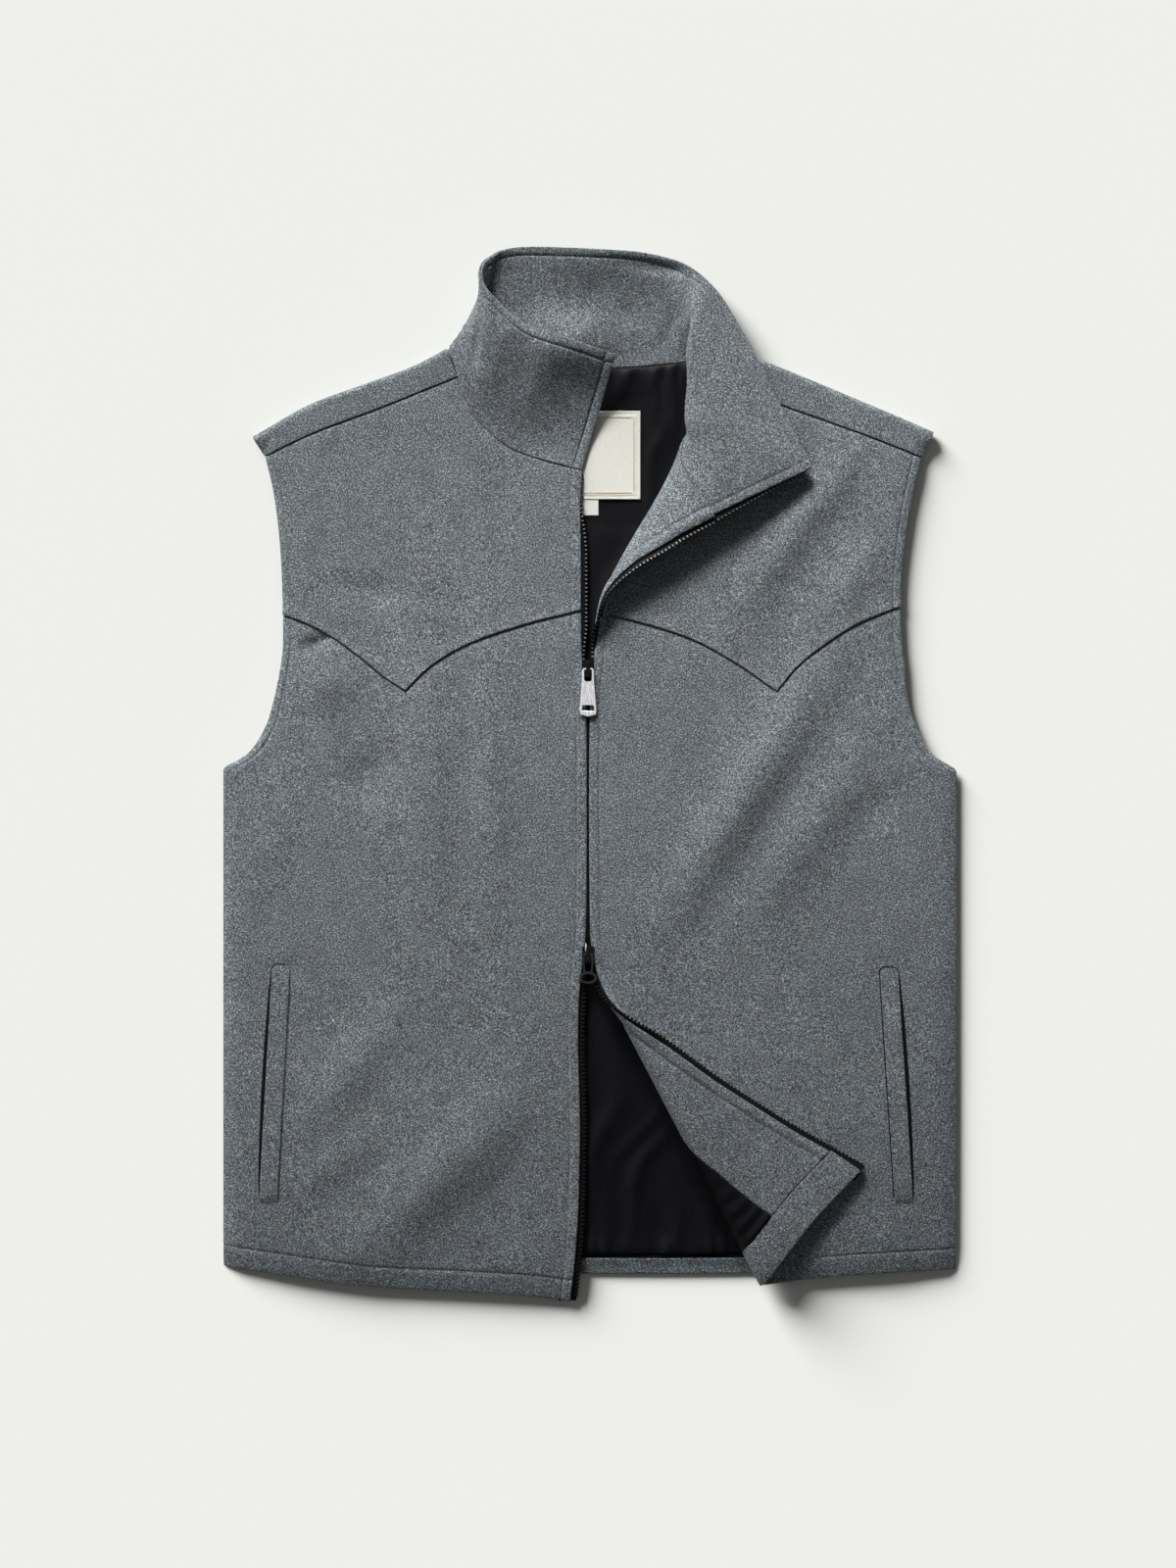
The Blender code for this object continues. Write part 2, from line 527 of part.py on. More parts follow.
def back_pieces():
    """Back with a strip over each shoulder, its hem turning, lining, label and size tab."""
    columns, rows, turns = 20, 15, 5
    mesh = bmesh.new()
    sides = []
    for front in (LEFT, RIGHT):
        ridge, seam = through(front["ridge"]), through(front["shoulder"])
        tuck = STRIP_RADIUS + WOOL / 2
        along = ridge(1) - ridge(0)
        out = np.array((-along[1], along[0])) / np.linalg.norm(along)
        out = out if out[1] > 0 else -out
        sides.append((ridge, seam, tuck, out))
    start = [lambda t, s=s: s[0](t) - s[2] * s[3] for s in sides]
    neck = through([start[0](0)] + BACK_NECK + [start[1](0)])

    def arm(front, line):
        # The armhole edge is a little inside the front's
        sign = -1 if front is LEFT else 1
        rows_in = [BACK_HEM[0] if front is LEFT else BACK_HEM[-1], (sign * BACK_SIDE, BACK_UNDERARM)]
        rows_up = front["armhole"][1:] + front["armhole_top"][1:]
        rows_up = [rows_in[1]] + [(x - sign * 1.5, y) for x, y in rows_up] + [tuple(line(1))]
        return joined(through(rows_in), through(rows_up), 0.6)

    def top(u):
        if u < 0.3:
            return start[0](1 - u / 0.3)
        return neck((u - 0.3) / 0.4) if u < 0.7 else start[1]((u - 0.7) / 0.3)

    hem = through(BACK_HEM)
    flat = patch(hem, top, arm(LEFT, start[0]), arm(RIGHT, start[1]))
    points = {}
    for i in range(columns + 1):
        for j in range(rows + 1):
            points[i, j] = mesh.verts.new((*(flat(i / columns, j / rows) * MM), BACK_Z * MM))
    for i in range(columns):
        for j in range(rows):
            mesh.faces.new((points[i, j], points[i + 1, j], points[i + 1, j + 1], points[i, j + 1]))
    for side, (ridge, seam, tuck, out) in enumerate(sides):
        count = round(0.3 * columns)
        lines = []
        for k in range(count + 1):
            share = k / count
            first = start[side](share)
            last = seam(share) + out * SEAM * 1.5
            line = []
            for step in range(1, turns + 1):
                angle = math.pi * step / turns
                place = first + out * STRIP_RADIUS * math.sin(angle)
                line.append((*place, BACK_Z + STRIP_RADIUS * (1 - math.cos(angle))))
            surface = left_front if side == 0 else right_front
            for step in (1, 2):
                place = first + (last - first) * step / 2
                line.append(surface(*place))
            lines.append([mesh.verts.new(np.array(p) * MM) for p in line])
        for k in range(count):
            edge = [points[count - j if side == 0 else columns - count + j, rows] for j in (k, k + 1)]
            one, two = [edge[0]] + lines[k], [edge[1]] + lines[k + 1]
            for step in range(len(one) - 1):
                ring = (one[step], two[step], two[step + 1], one[step + 1])
                mesh.faces.new(ring if side else ring[::-1])
    bmesh.ops.recalc_face_normals(mesh, faces=mesh.faces[:])
    new_object("back_panel", mesh, wool, WOOL)

    def laid(z):
        return lambda x, y: np.array((x, y, z))

    def band(u, v):
        return hem(0.008 + 0.984 * u) + (0, 0.5 + v * (BACK_BAND - 0.5))

    cloth("back_hem_band", band, 20, 1, laid(WOOL + SEAM + SATIN / 2), 0, SATIN, wool)

    def lining(u, v):
        x = -BACK_SIDE + 2 * BACK_SIDE * u
        for _ in range(4):
            low = np.interp(x, hems[:, 0], hems[:, 1]) + BACK_BAND + SEAM * 2
            high = np.interp(x, shoulder_x, shoulder_y) - 1 - 8 * ease((abs(x) - 70) / 30)
            y = low + (high - low) * v
            near = LINING_INSET - outer_edge(LEFT, y)
            far = outer_edge(RIGHT, y) - LINING_INSET
            x = near + (far - near) * u
        return x, y

    tops = np.array([top(share) for share in np.linspace(0, 1, 61)])
    shoulder_x, shoulder_y = tops[:, 0], tops[:, 1]
    hems = np.array([hem(share) for share in np.linspace(0, 1, 41)])
    cloth("back_lining", lining, 16, 10, laid(LINING_Z), 0, SATIN, satin)
    over = LINING_Z + SATIN / 2 + SEAM + TAPE / 2
    x, foot = LABEL_AT[0], LABEL_AT[1] - LABEL_SIZE[1] / 2
    label = strip((x, foot), (x, foot + LABEL_SIZE[1]), LABEL_SIZE[0])
    cloth("label", label, 4, 3, laid(over), 0, TAPE, cream)
    tab = strip((x, foot - SEAM - SIZE_TAB[1]), (x, foot - SEAM), SIZE_TAB[0])
    cloth("size_tab", tab, 2, 2, laid(over), 0, TAPE, cream)


def collar_sections():
    """Base, middle and rim of each section of the collar."""
    sections = []
    for sewn_to, x, y, z, *rest in COLLAR:
        if sewn_to == "left":
            base = moved_out(left_front, x, y, -COLLAR_OUT)
        elif sewn_to == "right":
            base = moved_out(right_front, x, y, -COLLAR_OUT)
        elif sewn_to == "strip":
            base = np.array((x, y, z))
        else:
            base = np.array((x, y, WOOL + SEAM / 2))
        sections.append(np.concatenate([base, rest]))
    return sections


def collar():
    """Outer and inner collar, either side of one surface through the sections."""
    sections = through(collar_sections(), range(len(COLLAR)))

    def surface(u, v):
        row = sections(min(max(u, 0.0), 1.0))
        base, middle, rim = row[:3], row[3:6], row[6:9]
        bulge = np.array((0, 0, row[9]))
        pull = 2 * middle - (base + rim) / 2
        low = (base + 2 * pull) / 3 - bulge
        high = (rim + 2 * pull) / 3 + bulge
        v = COLLAR_START + (1 - COLLAR_START) * v
        w = 1 - v
        return base * w ** 3 + 3 * low * v * w * w + 3 * high * v * v * w + rim * v ** 3

    beside = 1 + SEAM / TURNING
    for name, side in (("collar_outer", -beside), ("collar_inner", beside)):
        mesh = grid(42, 8)
        for vertex in mesh.verts:
            vertex.co = surface(vertex.co.x + 0.5, vertex.co.y + 0.5) * MM
        new_object(name, mesh, wool, TURNING, side)


def box(mesh, middle, size):
    made = bmesh.ops.create_cube(mesh, size=1)["verts"]
    for vertex in made:
        vertex.co = [(m + c * s) * MM for m, c, s in zip(middle, vertex.co, size)]
    return made


def cutter(name, mesh):
    data = bpy.data.meshes.new(name)
    mesh.to_mesh(data)
    mesh.free()
    thing = bpy.data.objects.new(name, data)
    cutters.objects.link(thing)
    thing.hide_render = True
    thing.display_type = "WIRE"
    return thing


def boolean(thing, other, operation):
    step = thing.modifiers.new(operation.lower(), "BOOLEAN")
    step.operation = operation
    step.solver = "EXACT"
    step.object = other


def soften(thing, by, segments=1):
    bevel = thing.modifiers.new("soft edges", "BEVEL")
    bevel.width = by * MM
    bevel.segments = segments
    bevel.limit_method = "ANGLE"


def slider(name, bar_y, opening):
    """Slider body: plate over the teeth, post between them where they part, plate below, and the bail."""
    bail_wide, bail_long, bail_high, bail_thick = BAIL
    plate_y = bar_y + opening * 0.5
    post_y = plate_y + opening * (SLIDER_LONG / 2 - POST[1] / 2 - 0.3)
    top = PLATE_Z + PLATE
    mesh = bmesh.new()
    box(mesh, (ZIP_X, plate_y, PLATE_Z + PLATE / 2), (SLIDER_WIDE, SLIDER_LONG, PLATE))
    body = new_object(name, mesh, zip_black)
    extra = bmesh.new()
    foot, head = LOW_PLATE_Z + LOW_PLATE / 2, PLATE_Z + PLATE / 2
    box(extra, (ZIP_X, post_y, (head + foot) / 2), (POST[0], POST[1], head - foot))
    post = cutter(name + "_post", extra)
    extra = bmesh.new()
    box(extra, (ZIP_X, plate_y, LOW_PLATE_Z + LOW_PLATE / 2), (SLIDER_WIDE - 1, SLIDER_LONG, LOW_PLATE))
    low = cutter(name + "_under", extra)
    extra = bmesh.new()
    for end in (-1, 1):
        box(extra, (ZIP_X, bar_y + end * (bail_long - bail_thick) / 2, top + bail_high / 2 - 0.3),
            (bail_wide, bail_thick, bail_high + 0.6 - bail_thick))
    legs = cutter(name + "_legs", extra)
    extra = bmesh.new()
    box(extra, (ZIP_X, bar_y, top + bail_high - bail_thick / 2), (bail_wide, bail_long, bail_thick))
    strap = cutter(name + "_strap", extra)
    soften(strap, 0.4)
    for other in (post, low, legs, strap):
        boolean(body, other, "UNION")
    return body


def mirrored(half, bar_y):
    """Both halves of an outline about the zip's middle line, from rows of x and y below the bar's top."""
    rows = [(x, y) for x, y in half] + [(-x, y) for x, y in half[::-1] if x > 0]
    return [(ZIP_X + x, bar_y + BAR / 2 - y) for x, y in rows]


def plate(points, extra=0.0):
    """A flat plate with this outline at the height of the bail's bar, this much thicker on each side."""
    mesh = bmesh.new()
    rings = []
    for z in (BAR_Z - BAR / 2 - extra, BAR_Z + BAR / 2 + extra):
        rings.append([mesh.verts.new((x * MM, y * MM, z * MM)) for x, y in points])
    mesh.faces.new(rings[0][::-1])
    mesh.faces.new(rings[1])
    for i in range(len(points)):
        j = (i + 1) % len(points)
        mesh.faces.new((rings[0][i], rings[0][j], rings[1][j], rings[1][i]))
    bmesh.ops.recalc_face_normals(mesh, faces=mesh.faces[:])
    return mesh


def pull_upper():
    """Flat tab with an open loop round the bail's bar and a slot near its end."""
    y = SLIDER_UPPER
    tab = new_object("zip_pull_upper", plate(mirrored(PULL_PLATE, y)), silver)
    boolean(tab, cutter("pull_loop", plate(mirrored(PULL_LOOP, y), 2)), "DIFFERENCE")
    boolean(tab, cutter("pull_slot", plate(mirrored(PULL_SLOT, y), 2)), "DIFFERENCE")
    soften(tab, 0.25)
    return tab


def oval(wide, deep, bar_y):
    """An oval outline of this size in the place of the lower pull's ring."""
    middle = bar_y + BAR / 2 - RING_LONG + RING[1] / 2
    turns = np.linspace(0, 2 * math.pi, 25)[:-1]
    return [(ZIP_X + wide / 2 * math.cos(a), middle + deep / 2 * math.sin(a)) for a in turns]


def pull_lower():
    """Two legs from the bail's bar to an oval ring."""
    y = SLIDER_LOWER
    wide, deep, bar = RING
    ring = new_object("zip_pull_lower", plate(oval(wide, deep, y)), dark_metal)
    boolean(ring, cutter("ring_legs", plate(mirrored(RING_LEGS, y))), "UNION")
    boolean(ring, cutter("ring_window", plate(mirrored(RING_WINDOW, y), 2)), "DIFFERENCE")
    hole = oval(wide - 2 * bar, deep - 1.6 * bar, y)
    boolean(ring, cutter("ring_hole", plate(hole, 2)), "DIFFERENCE")
    soften(ring, 0.25)
    return ring


def hinge(name, thing, bar_y):
    """Puts a pull under an empty on its bail's bar."""
    pivot = bpy.data.objects.new(name, None)
    vest.objects.link(pivot)
    pivot.location = (ZIP_X * MM, bar_y * MM, BAR_Z * MM)
    bpy.context.view_layer.update()
    thing.parent = pivot
    thing.matrix_parent_inverse = pivot.matrix_world.inverted()


for old in list(bpy.data.objects):
    bpy.data.objects.remove(old, do_unlink=True)
vest = bpy.data.collections.new("wool_vest")
bpy.context.scene.collection.children.link(vest)
cutters = bpy.data.collections.new("cutters")
bpy.context.scene.collection.children.link(cutters)

wool = material("grey wool", (0.15, 0.165, 0.18), 0.95, 0)
satin = material("black satin", (0.01, 0.01, 0.012), 0.4, 0)
cream = material("cream tape", (0.78, 0.76, 0.68), 0.8, 0)
zip_black = material("black zip", (0.01, 0.01, 0.01), 0.45, 0)
silver = material("brushed silver", (0.55, 0.54, 0.56), 0.3, 1)
dark_metal = material("dark metal", (0.12, 0.12, 0.13), 0.35, 1)

back_pieces()
front_pieces("left", LEFT, left_front, ())
front_pieces("right", RIGHT, right_front, fold_cuts())
right_inside(fold_cuts())
collar()
welt("pocket_welt_left", WELT_LEFT, left_front)
welt("pocket_welt_right", WELT_RIGHT, right_front)
slider("zip_slider_upper", SLIDER_UPPER, 1)
slider("zip_slider_lower", SLIDER_LOWER, -1)
hinge("upper_pull_axis", pull_upper(), SLIDER_UPPER)
hinge("lower_pull_axis", pull_lower(), SLIDER_LOWER)
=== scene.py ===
import math

import bmesh
import bpy
import numpy as np
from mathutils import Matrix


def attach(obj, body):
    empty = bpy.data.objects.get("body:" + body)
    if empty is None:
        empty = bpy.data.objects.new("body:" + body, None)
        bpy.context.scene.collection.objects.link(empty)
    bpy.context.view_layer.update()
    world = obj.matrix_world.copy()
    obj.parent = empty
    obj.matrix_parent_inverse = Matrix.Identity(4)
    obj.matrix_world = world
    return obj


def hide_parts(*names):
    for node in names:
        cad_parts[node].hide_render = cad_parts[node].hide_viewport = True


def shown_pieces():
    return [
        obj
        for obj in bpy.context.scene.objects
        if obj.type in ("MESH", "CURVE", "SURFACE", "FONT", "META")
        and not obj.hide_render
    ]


# Looks of a wool vest lying flat on its back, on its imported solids. Left and right are as seen from above.
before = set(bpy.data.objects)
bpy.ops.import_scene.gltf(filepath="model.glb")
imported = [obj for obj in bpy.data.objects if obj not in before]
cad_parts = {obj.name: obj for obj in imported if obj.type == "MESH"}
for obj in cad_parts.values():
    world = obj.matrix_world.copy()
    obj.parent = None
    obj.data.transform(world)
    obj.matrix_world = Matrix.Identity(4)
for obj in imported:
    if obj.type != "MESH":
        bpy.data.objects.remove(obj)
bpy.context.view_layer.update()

MM = 0.001

# Cloth thicknesses and heights, in millimetres, as in the solids
WOOL = 2.0
TURNING = 1.6
SATIN = 1.0
TAPE = 0.6
SEAM = 0.3
FRONT_Z = 8.0
BACK_Z = WOOL / 2
LINING_Z = WOOL + SEAM + SATIN / 2
COLLAR_OUT = SEAM / 2 + TURNING / 2
INNER_GAP = 1.0
TAPE_GAP = 0.5

# Outlines of the two fronts as they lie flat: x, y
LEFT = {
    "hem": [(-14.9, -402.8), (-50, -398.5), (-91.8, -395.8), (-173.2, -391), (-227.7, -383.8),
            (-280, -376.3)],
    "zip": [(-14.9, -402.8), (-10.1, -356.2), (-7.6, -284.5), (-7.6, -164.3), (-5.8, -146), (-3.6, -127.7),
            (-3.0, -112), (-2.75, -95), (-2.75, 35), (-3.0, 52), (-3.6, 66), (-5.9, 86), (-6.7, 124.4)],
    "zip_top": [(-6.7, 124.4), (-6.9, 177), (-7.4, 205), (-5.6, 232.2)],
    "yoke_in": [(-6.7, 124.4), (-43, 115.4), (-74, 105.8), (-100.1, 95.1), (-123.9, 79.6),
                (-140.7, 62.9)],
    "yoke_out": [(-140.7, 62.9), (-157.3, 73.7), (-176.4, 89.2), (-197.9, 104.6), (-219.2, 115.4),
                 (-234.3, 121)],
    "side": [(-280, -376.3), (-280, -190), (-280, 3.7)],
    "armhole": [(-280, 3.7), (-262.1, 14.2), (-247.2, 36.6), (-241.9, 53.8), (-237.8, 72.4), (-234.7, 91.8),
                (-234.3, 121)],
    "armhole_top": [(-234.3, 121), (-235.4, 156.1), (-238.2, 191.5), (-243.1, 222.5), (-247.9, 241.6)],
    "neck": [(-5.6, 232.2), (-38.1, 240.4), (-62, 249.8), (-78.7, 263), (-93, 282), (-101.3, 302.3)],
    "shoulder": [(-101.3, 302.3), (-157.3, 279.6), (-219.2, 255.8), (-247.9, 241.6)],
    "ridge": [(-109.5, 324.5), (-128.7, 314.1), (-171.7, 297.5), (-212.1, 282.7), (-257.6, 257.2)],
}
RIGHT = {
    "hem": [(13, -404), (60, -396), (131, -390.5), (165.8, -386), (222.5, -381.6), (279.3, -379)],
    "zip": [(13, -404), (17.2, -350), (19.9, -273), (19.1, -220), (16.8, -190), (11, -169), (4.6, -150),
            (0.6, -127.7), (0.0, -112), (-0.25, -95), (-0.25, 35), (0.0, 52), (0.6, 66), (2.9, 86),
            (3.7, 124.4)],
    "zip_top": [(3.7, 124.4), (3.9, 177), (4.4, 205), (2.6, 232.2)],
    "yoke_in": [(3.7, 124.4), (25.8, 118.2), (54.4, 110.5), (80.6, 101), (106.8, 86.8), (142.5, 62.5)],
    "yoke_out": [(142.5, 62.5), (159.1, 82.1), (178.2, 97.4), (202, 113), (221, 121.3), (236.8, 127.5)],
    "side": [(279.3, -379), (280, -190), (280, 2.2)],
    "armhole": [(280, 2.2), (259.9, 15.7), (248.7, 36.6), (242.5, 56), (240.1, 82.1), (237.7, 103.4),
                (236.8, 127.5)],
    "armhole_top": [(236.8, 127.5), (237.7, 151.1), (241.2, 182.2), (246, 210.6), (253, 241)],
    "neck": [(2.6, 232.2), (35, 240.4), (59, 249.8), (75.7, 263), (90, 282), (100.1, 300.9)],
    "shoulder": [(100.1, 300.9), (146.1, 280.8), (182.9, 267.7), (218.6, 254.6), (253, 241)],
    "ridge": [(106.5, 324), (128.1, 316.6), (173.2, 298.7), (206.8, 284.5), (235.2, 272.6), (262.7, 260.6)],
}

# Shares of an edge at which its two curves meet
YOKE_POINT = 0.6
UNDERARM = 0.7
NECK_END = 0.5
ZIP_YOKE = 0.83

# How a front drops to the back at its outer edge: over ROLL_WIDE, less from ARM_FROM up
ROLL_WIDE = 14.0
SIDE_DROP = 4.2
ARM_DROP = 2.6
ARM_FROM = 5.0
ARM_OVER = 25.0

# How a front lifts below HEM_LIFT_FROM, less to the side and to the zip, where HEM_LIFT_KEPT of it stays, and
# curls down at the hem itself
HEM_LIFT = 3.6
HEM_LIFT_FROM = -290.0
HEM_LIFT_OVER = 100.0
HEM_LIFT_SIDE = 60.0
HEM_LIFT_ZIP = 70.0
HEM_LIFT_KEPT = 0.4
HEM_CURL = 3.2
HEM_CURL_WIDE = 26.0

# Distance over which the folds of a front fade to its outer edge, and from beside the zip
FOLDS_FADE = 40.0
FOLDS_FROM_ZIP = 12.0

# Folds in the fronts as they lie: x, y, heading, half length, half width, height
FOLDS = [
    (124, -9, 58, 110, 20, 7.6),
    (168, -42, 57, 85, 22, 4.6),
    (160, 188, 54, 70, 15, 4.8),
    (207, 154, 54, 60, 17, 4.0),
    (215, -30, 50, 20, 14, -2.0),
    (244, 8, 45, 22, 12, 1.4),
    (232, -148, 0, 14, 6, -1.2),
    (120, -190, 75, 60, 22, 1.2),
    (200, -250, 85, 80, 20, -1.0),
    (-119, -312, 44, 75, 24, 6.6),
    (-181, -226, 50, 44, 16, 3.8),
    (-197, -300, 40, 28, 12, 2.2),
    (-54, -290, 70, 60, 18, -1.6),
    (-213.5, 97.5, 25, 16, 4.8, -5.0),
    (-203, 68, 20, 30, 17, 3.2),
    (-171, -4, 75, 24, 17, -3.8),
    (-173, 140, -6, 34, 11, -1.8),
    (-69, 200, 80, 45, 13, -1.4),
    (-264, -6, 40, 16, 7, -1.8),
    (-240, -45, 75, 45, 14, 1.8),
    (-124, 0, 90, 110, 23, 4.0),
    (-76, 0, 90, 105, 13, 3.4),
    (-231, -147, 0, 14, 6, -1.2),
    (-150, -285, 0, 170, 65, 4.0),
    (165, -285, 0, 120, 65, 4.0),
]

# Lower right corner: the fold shows as a line from FOLD_AT along FOLD_ALONG
FOLD_AT = (6.8, -154.5)
FOLD_ALONG = (0.4645, -0.8855)
FOLD_COVER = 2.5
FOLD_COVER_OVER = 40.0

# Roll of the lower fold: distance along it, radius, degrees it turns over
FOLD = [
    (0, 1.6, 0),
    (20, 3.2, 60),
    (40, 4.6, 118),
    (65, 5.8, 168),
    (95, 6.8, 184),
    (150, 7.0, 187),
    (225, 6.0, 184),
    (270, 6.0, 184),
]

# Right lapel: it opens from LAPEL_AT, between its turning line on the neck seam and the front edge
LAPEL_AT = (3.0, 92.0)
LAPEL_TURN = (90.0, 282.0)
LAPEL_EDGE = (2.6, 232.2)
LAPEL_LIE = 1.12
LAPEL_SHAPED = 0.5

# Edge of the open lapel: share of its length, x, y, z, heading back to the roll, degrees it stands up,
# and how far the roll stands out
LAPEL = [
    (0.00, 3.0, 92.0, 8.0, 175, 180, 1.0),
    (0.16, 6.6, 111.8, 12.0, 172, 110, 0.9),
    (0.36, 15.2, 137.7, 18.0, 162, 72, 0.5),
    (0.52, 32.0, 155.5, 21.5, 138, 42, 0.3),
    (0.76, 63.9, 175.8, 23.0, 117, 12, 0.2),
    (1.00, 94.6, 195.6, 22.5, 107, -4, 0.95),
]

# Sections of the collar: what its base is sewn to, x, y, z of its base, middle and rim, and how
# far the section bulges down before the middle and up after it
COLLAR = [
    ("left", -6.2, 232.2, 0, 7, 275, 10, 19, 318.4, 18, 5),
    ("left", -30, 238.2, 0, -22, 283, 12.5, -13.7, 328.5, 22, 7),
    ("left", -55, 246.7, 0, -49, 292, 18.5, -42.6, 336.8, 25.5, 6),
    ("left", -74, 258.5, 0, -67, 303, 19.5, -60.9, 349.1, 26, 6),
    ("left", -89.5, 277.3, 0, -80, 320, 22.5, -75.4, 363.6, 28.5, 3),
    ("left", -97.5, 294.5, 0, -84.5, 335, 21, -82.4, 375.7, 26, 0),
    ("strip", -103.6, 315.5, 6.6, -86.5, 349, 18, -82.0, 385, 22, 0),
    ("strip", -107.5, 324.2, 4.2, -86, 357, 10, -76.5, 393, 14, 0),
    ("back", -97, 319.7, 0, -82, 360, 3.5, -66, 399.6, 8, 0),
    ("back", -70, 314.0, 0, -58, 358, 2.0, -46.5, 402, 5.4, 0),
    ("back", -22, 310.4, 0, -14, 356, 1.8, -5.6, 400.7, 5, 0),
    ("back", 25, 311.3, 0, 30, 356, 2.0, 35.4, 398.2, 5.2, 0),
    ("back", 60, 314.1, 0, 60, 355, 4.5, 60, 393, 8, 0),
    ("back", 85, 318, 0, 75, 351, 12, 79, 383.5, 9.5, 2),
    ("strip", 103.2, 323.0, 4.2, 79, 341, 18, 97, 366.5, 12, 6),
    ("strip", 103.4, 313.5, 6.6, 75, 322, 19.5, 111.5, 344, 13, 10),
    ("right", 98, 295, 0, 76.5, 300, 20, 125.5, 319, 14, 11),
    ("right", 89, 279.5, 0, 78, 280, 21, 138.5, 292.5, 14.5, 12),
    ("right", 78, 267.8, 0, 84, 263, 24, 148.5, 272, 15, 8),
    ("right", 50, 245.8, 0, 102, 246, 25, 155.5, 258, 16, 2),
    ("right", 24, 237.8, 0, 117, 235, 25, 162, 245, 17, 0),
    ("right", 3.2, 232.2, 0, 131, 214, 22.5, 168.9, 232, 18.5, 0),
]
COLLAR_START = -0.012
COLLAR_TALL = 83.0

# Creases in the collar, seen from above: x, y, heading, half length, half width, height towards the eye
COLLAR_CREASES = [
    (-51, 308, 85, 28, 6, -1.6),
    (-68, 322, 75, 28, 7, 1.6),
    (-86, 322, 80, 20, 4, -2.4),
    (-6, 338, 0, 72, 12, 1.6),
    (64, 342, 62, 18, 6, -2.6),
    (78, 352, 62, 22, 8, 1.6),
    (52, 386, 172, 30, 5, -2.4),
    (10, 352, 40, 30, 9, 1.2),
    (120, 300, 120, 40, 8, 1.2),
    (104, 252, 120, 34, 10, -1.6),
]

# Where the collar's rim stands higher than the rest, in the same columns
COLLAR_STANDS = [
    (-12, 326, -17, 31, 23, 8.5),
    (4, 400, 0, 52, 32, 8.0),
]

# Share round the collar at which its seen face changes from outer to inner, how its creases fade to the rim
# and to the base, and how close to the floor they take it
COLLAR_CHANGE = 0.33
CREASE_RIM = 6.0
CREASE_BASE = 20.0
FLOOR_GAP = 0.1

# Pieces on the back. The flat cut of the wool is in metres, and ends are shares of the hem
BACK_SIDE = 277.5
BACK_UNDERARM = 2.0
BACK_UNDERARM_SHARE = 0.6
BACK_ARM_IN = 1.5
BACK_HEM = [(-277.5, -373.5), (-170, -380.4), (-14, -382.7), (130, -382.2), (277.5, -376)]
BACK_BAND = 12.5
BACK_BAND_FROM = 0.5
BACK_NECK = [(-95, 319.2), (-70, 314.6), (-22, 311), (25, 311.9), (60, 314.7), (85, 318.3)]
BACK_COLUMNS = 100
BACK_ROWS = 120
SHOULDER_SHARE = 0.3
STRIP_RADIUS = (FRONT_Z - BACK_Z) / 2
ROLL_STEPS = 12
LAID_STEPS = 8
BACK_BAND_ENDS = (0.008, 0.992)
BAND_TILT = 2.2
LINING_INSET = 12.0
# The lining stops this far above the hem turning, over a black strip that is its turning and painted shade
LINING_TURN = 3.4
TURN_ENDS = (0.03, 0.97)
TURN_FROM = BACK_BAND - 1
TURN_WIDE = 12.0
TURN_THICK = 0.3
LABEL_SIZE = (80.0, 67.6)
LABEL_AT = (-1.5, 243.0)
SIZE_TAB = (16.0, 12.0)
SIZE_TAB_UNDER = 2.0

# Pieces inside the right front. The facing's rows are y and its width, its ends are measured at FACING_ENDS,
# and the lining's y is first taken from LINING_FIRST
BAND_ENDS = (0.002, 0.922)
BAND_FROM = 0.4
BAND_WIDE = 27.4
BAND_GAP = 0.5
FACING_WIDE = [(-405, 66), (-370, 64), (-327, 59), (-277, 50), (-200, 48), (20, 56), (170, 84), (260, 84)]
FACING_PAST = 0.6
FACING_ENDS = (-375.0, 240.0)
FACING_EDGE = 4.6
LINING_FIRST = (-350.0, 250.0)
LINING_GAP = 0.4
LINING_TOP = 235.0
FRONT_INSET = 18.0
NECK_INSET = 9.0

# Pocket welts: middle of the top and of the bottom, x, y
WELT_WIDE = 14.0
WELT_LEFT = [(-235.4, -146.2), (-245, -328.1)]
WELT_RIGHT = [(227.9, -148.4), (239.2, -328.5)]
WELT_THICK = 1.2
WELT_ROUND = 4.5
WELT_SEWN = 1.4
# Dark satin strip round a welt: its pocket lining and painted shade in the slit
MOUTH_SHOWS = 3.0
MOUTH_INNER = {"left": -0.7, "right": 0.9}
MOUTH_ABOVE = 1.1
MOUTH_ENDS = (0.03, 1.0)
MOUTH_THICK = 0.2

# Zip: how much tape shows closed and open, where it opens, and where the left collar end hides it
ZIP_X = -1.5
TAPE_CLOSED = 1.5
TAPE_OPEN = 4.5
TAPE_SEWN = 9.0
TAPE_SHORT = 0.6
TAPE_THICK = 0.5
OPEN_ABOVE = 84.0
OPEN_BELOW = -143.0
OPENS_OVER = 30.0
HIDDEN_FROM = 165.0
HIDDEN_OVER = 60.0
SLIDER_UPPER = 79.5

# Zip along the end of the collar: more tape shows at its foot and less at its top
COLLAR_TAPE_FOOT = 1.6
COLLAR_TAPE_LESS = 5.2
COLLAR_TAPE_ENDS = (-0.02, 0.92)
COLLAR_TAPE_THICK = 0.24
COLLAR_TEETH_END = 0.9

# Zip teeth. The levels are height and share of full size
TOOTH_PITCH = 3.2
TOOTH_WIDE = 2.8
TOOTH_LONG = 1.9
TOOTH_LEVELS = ((-1.05, 0.72), (-0.4, 1.0), (0.4, 1.0), (1.05, 0.55))
TOOTH_SUNK = 0.8
TOOTH_INSIDE = 1.1

# Small painted highlight on the lower slider's bridge: ends in y, height, and how far it lies beside the zip
BRIDGE_ENDS = (-128.4, -136.6)
BRIDGE_Z = 12.7
BRIDGE_BESIDE = 1.6

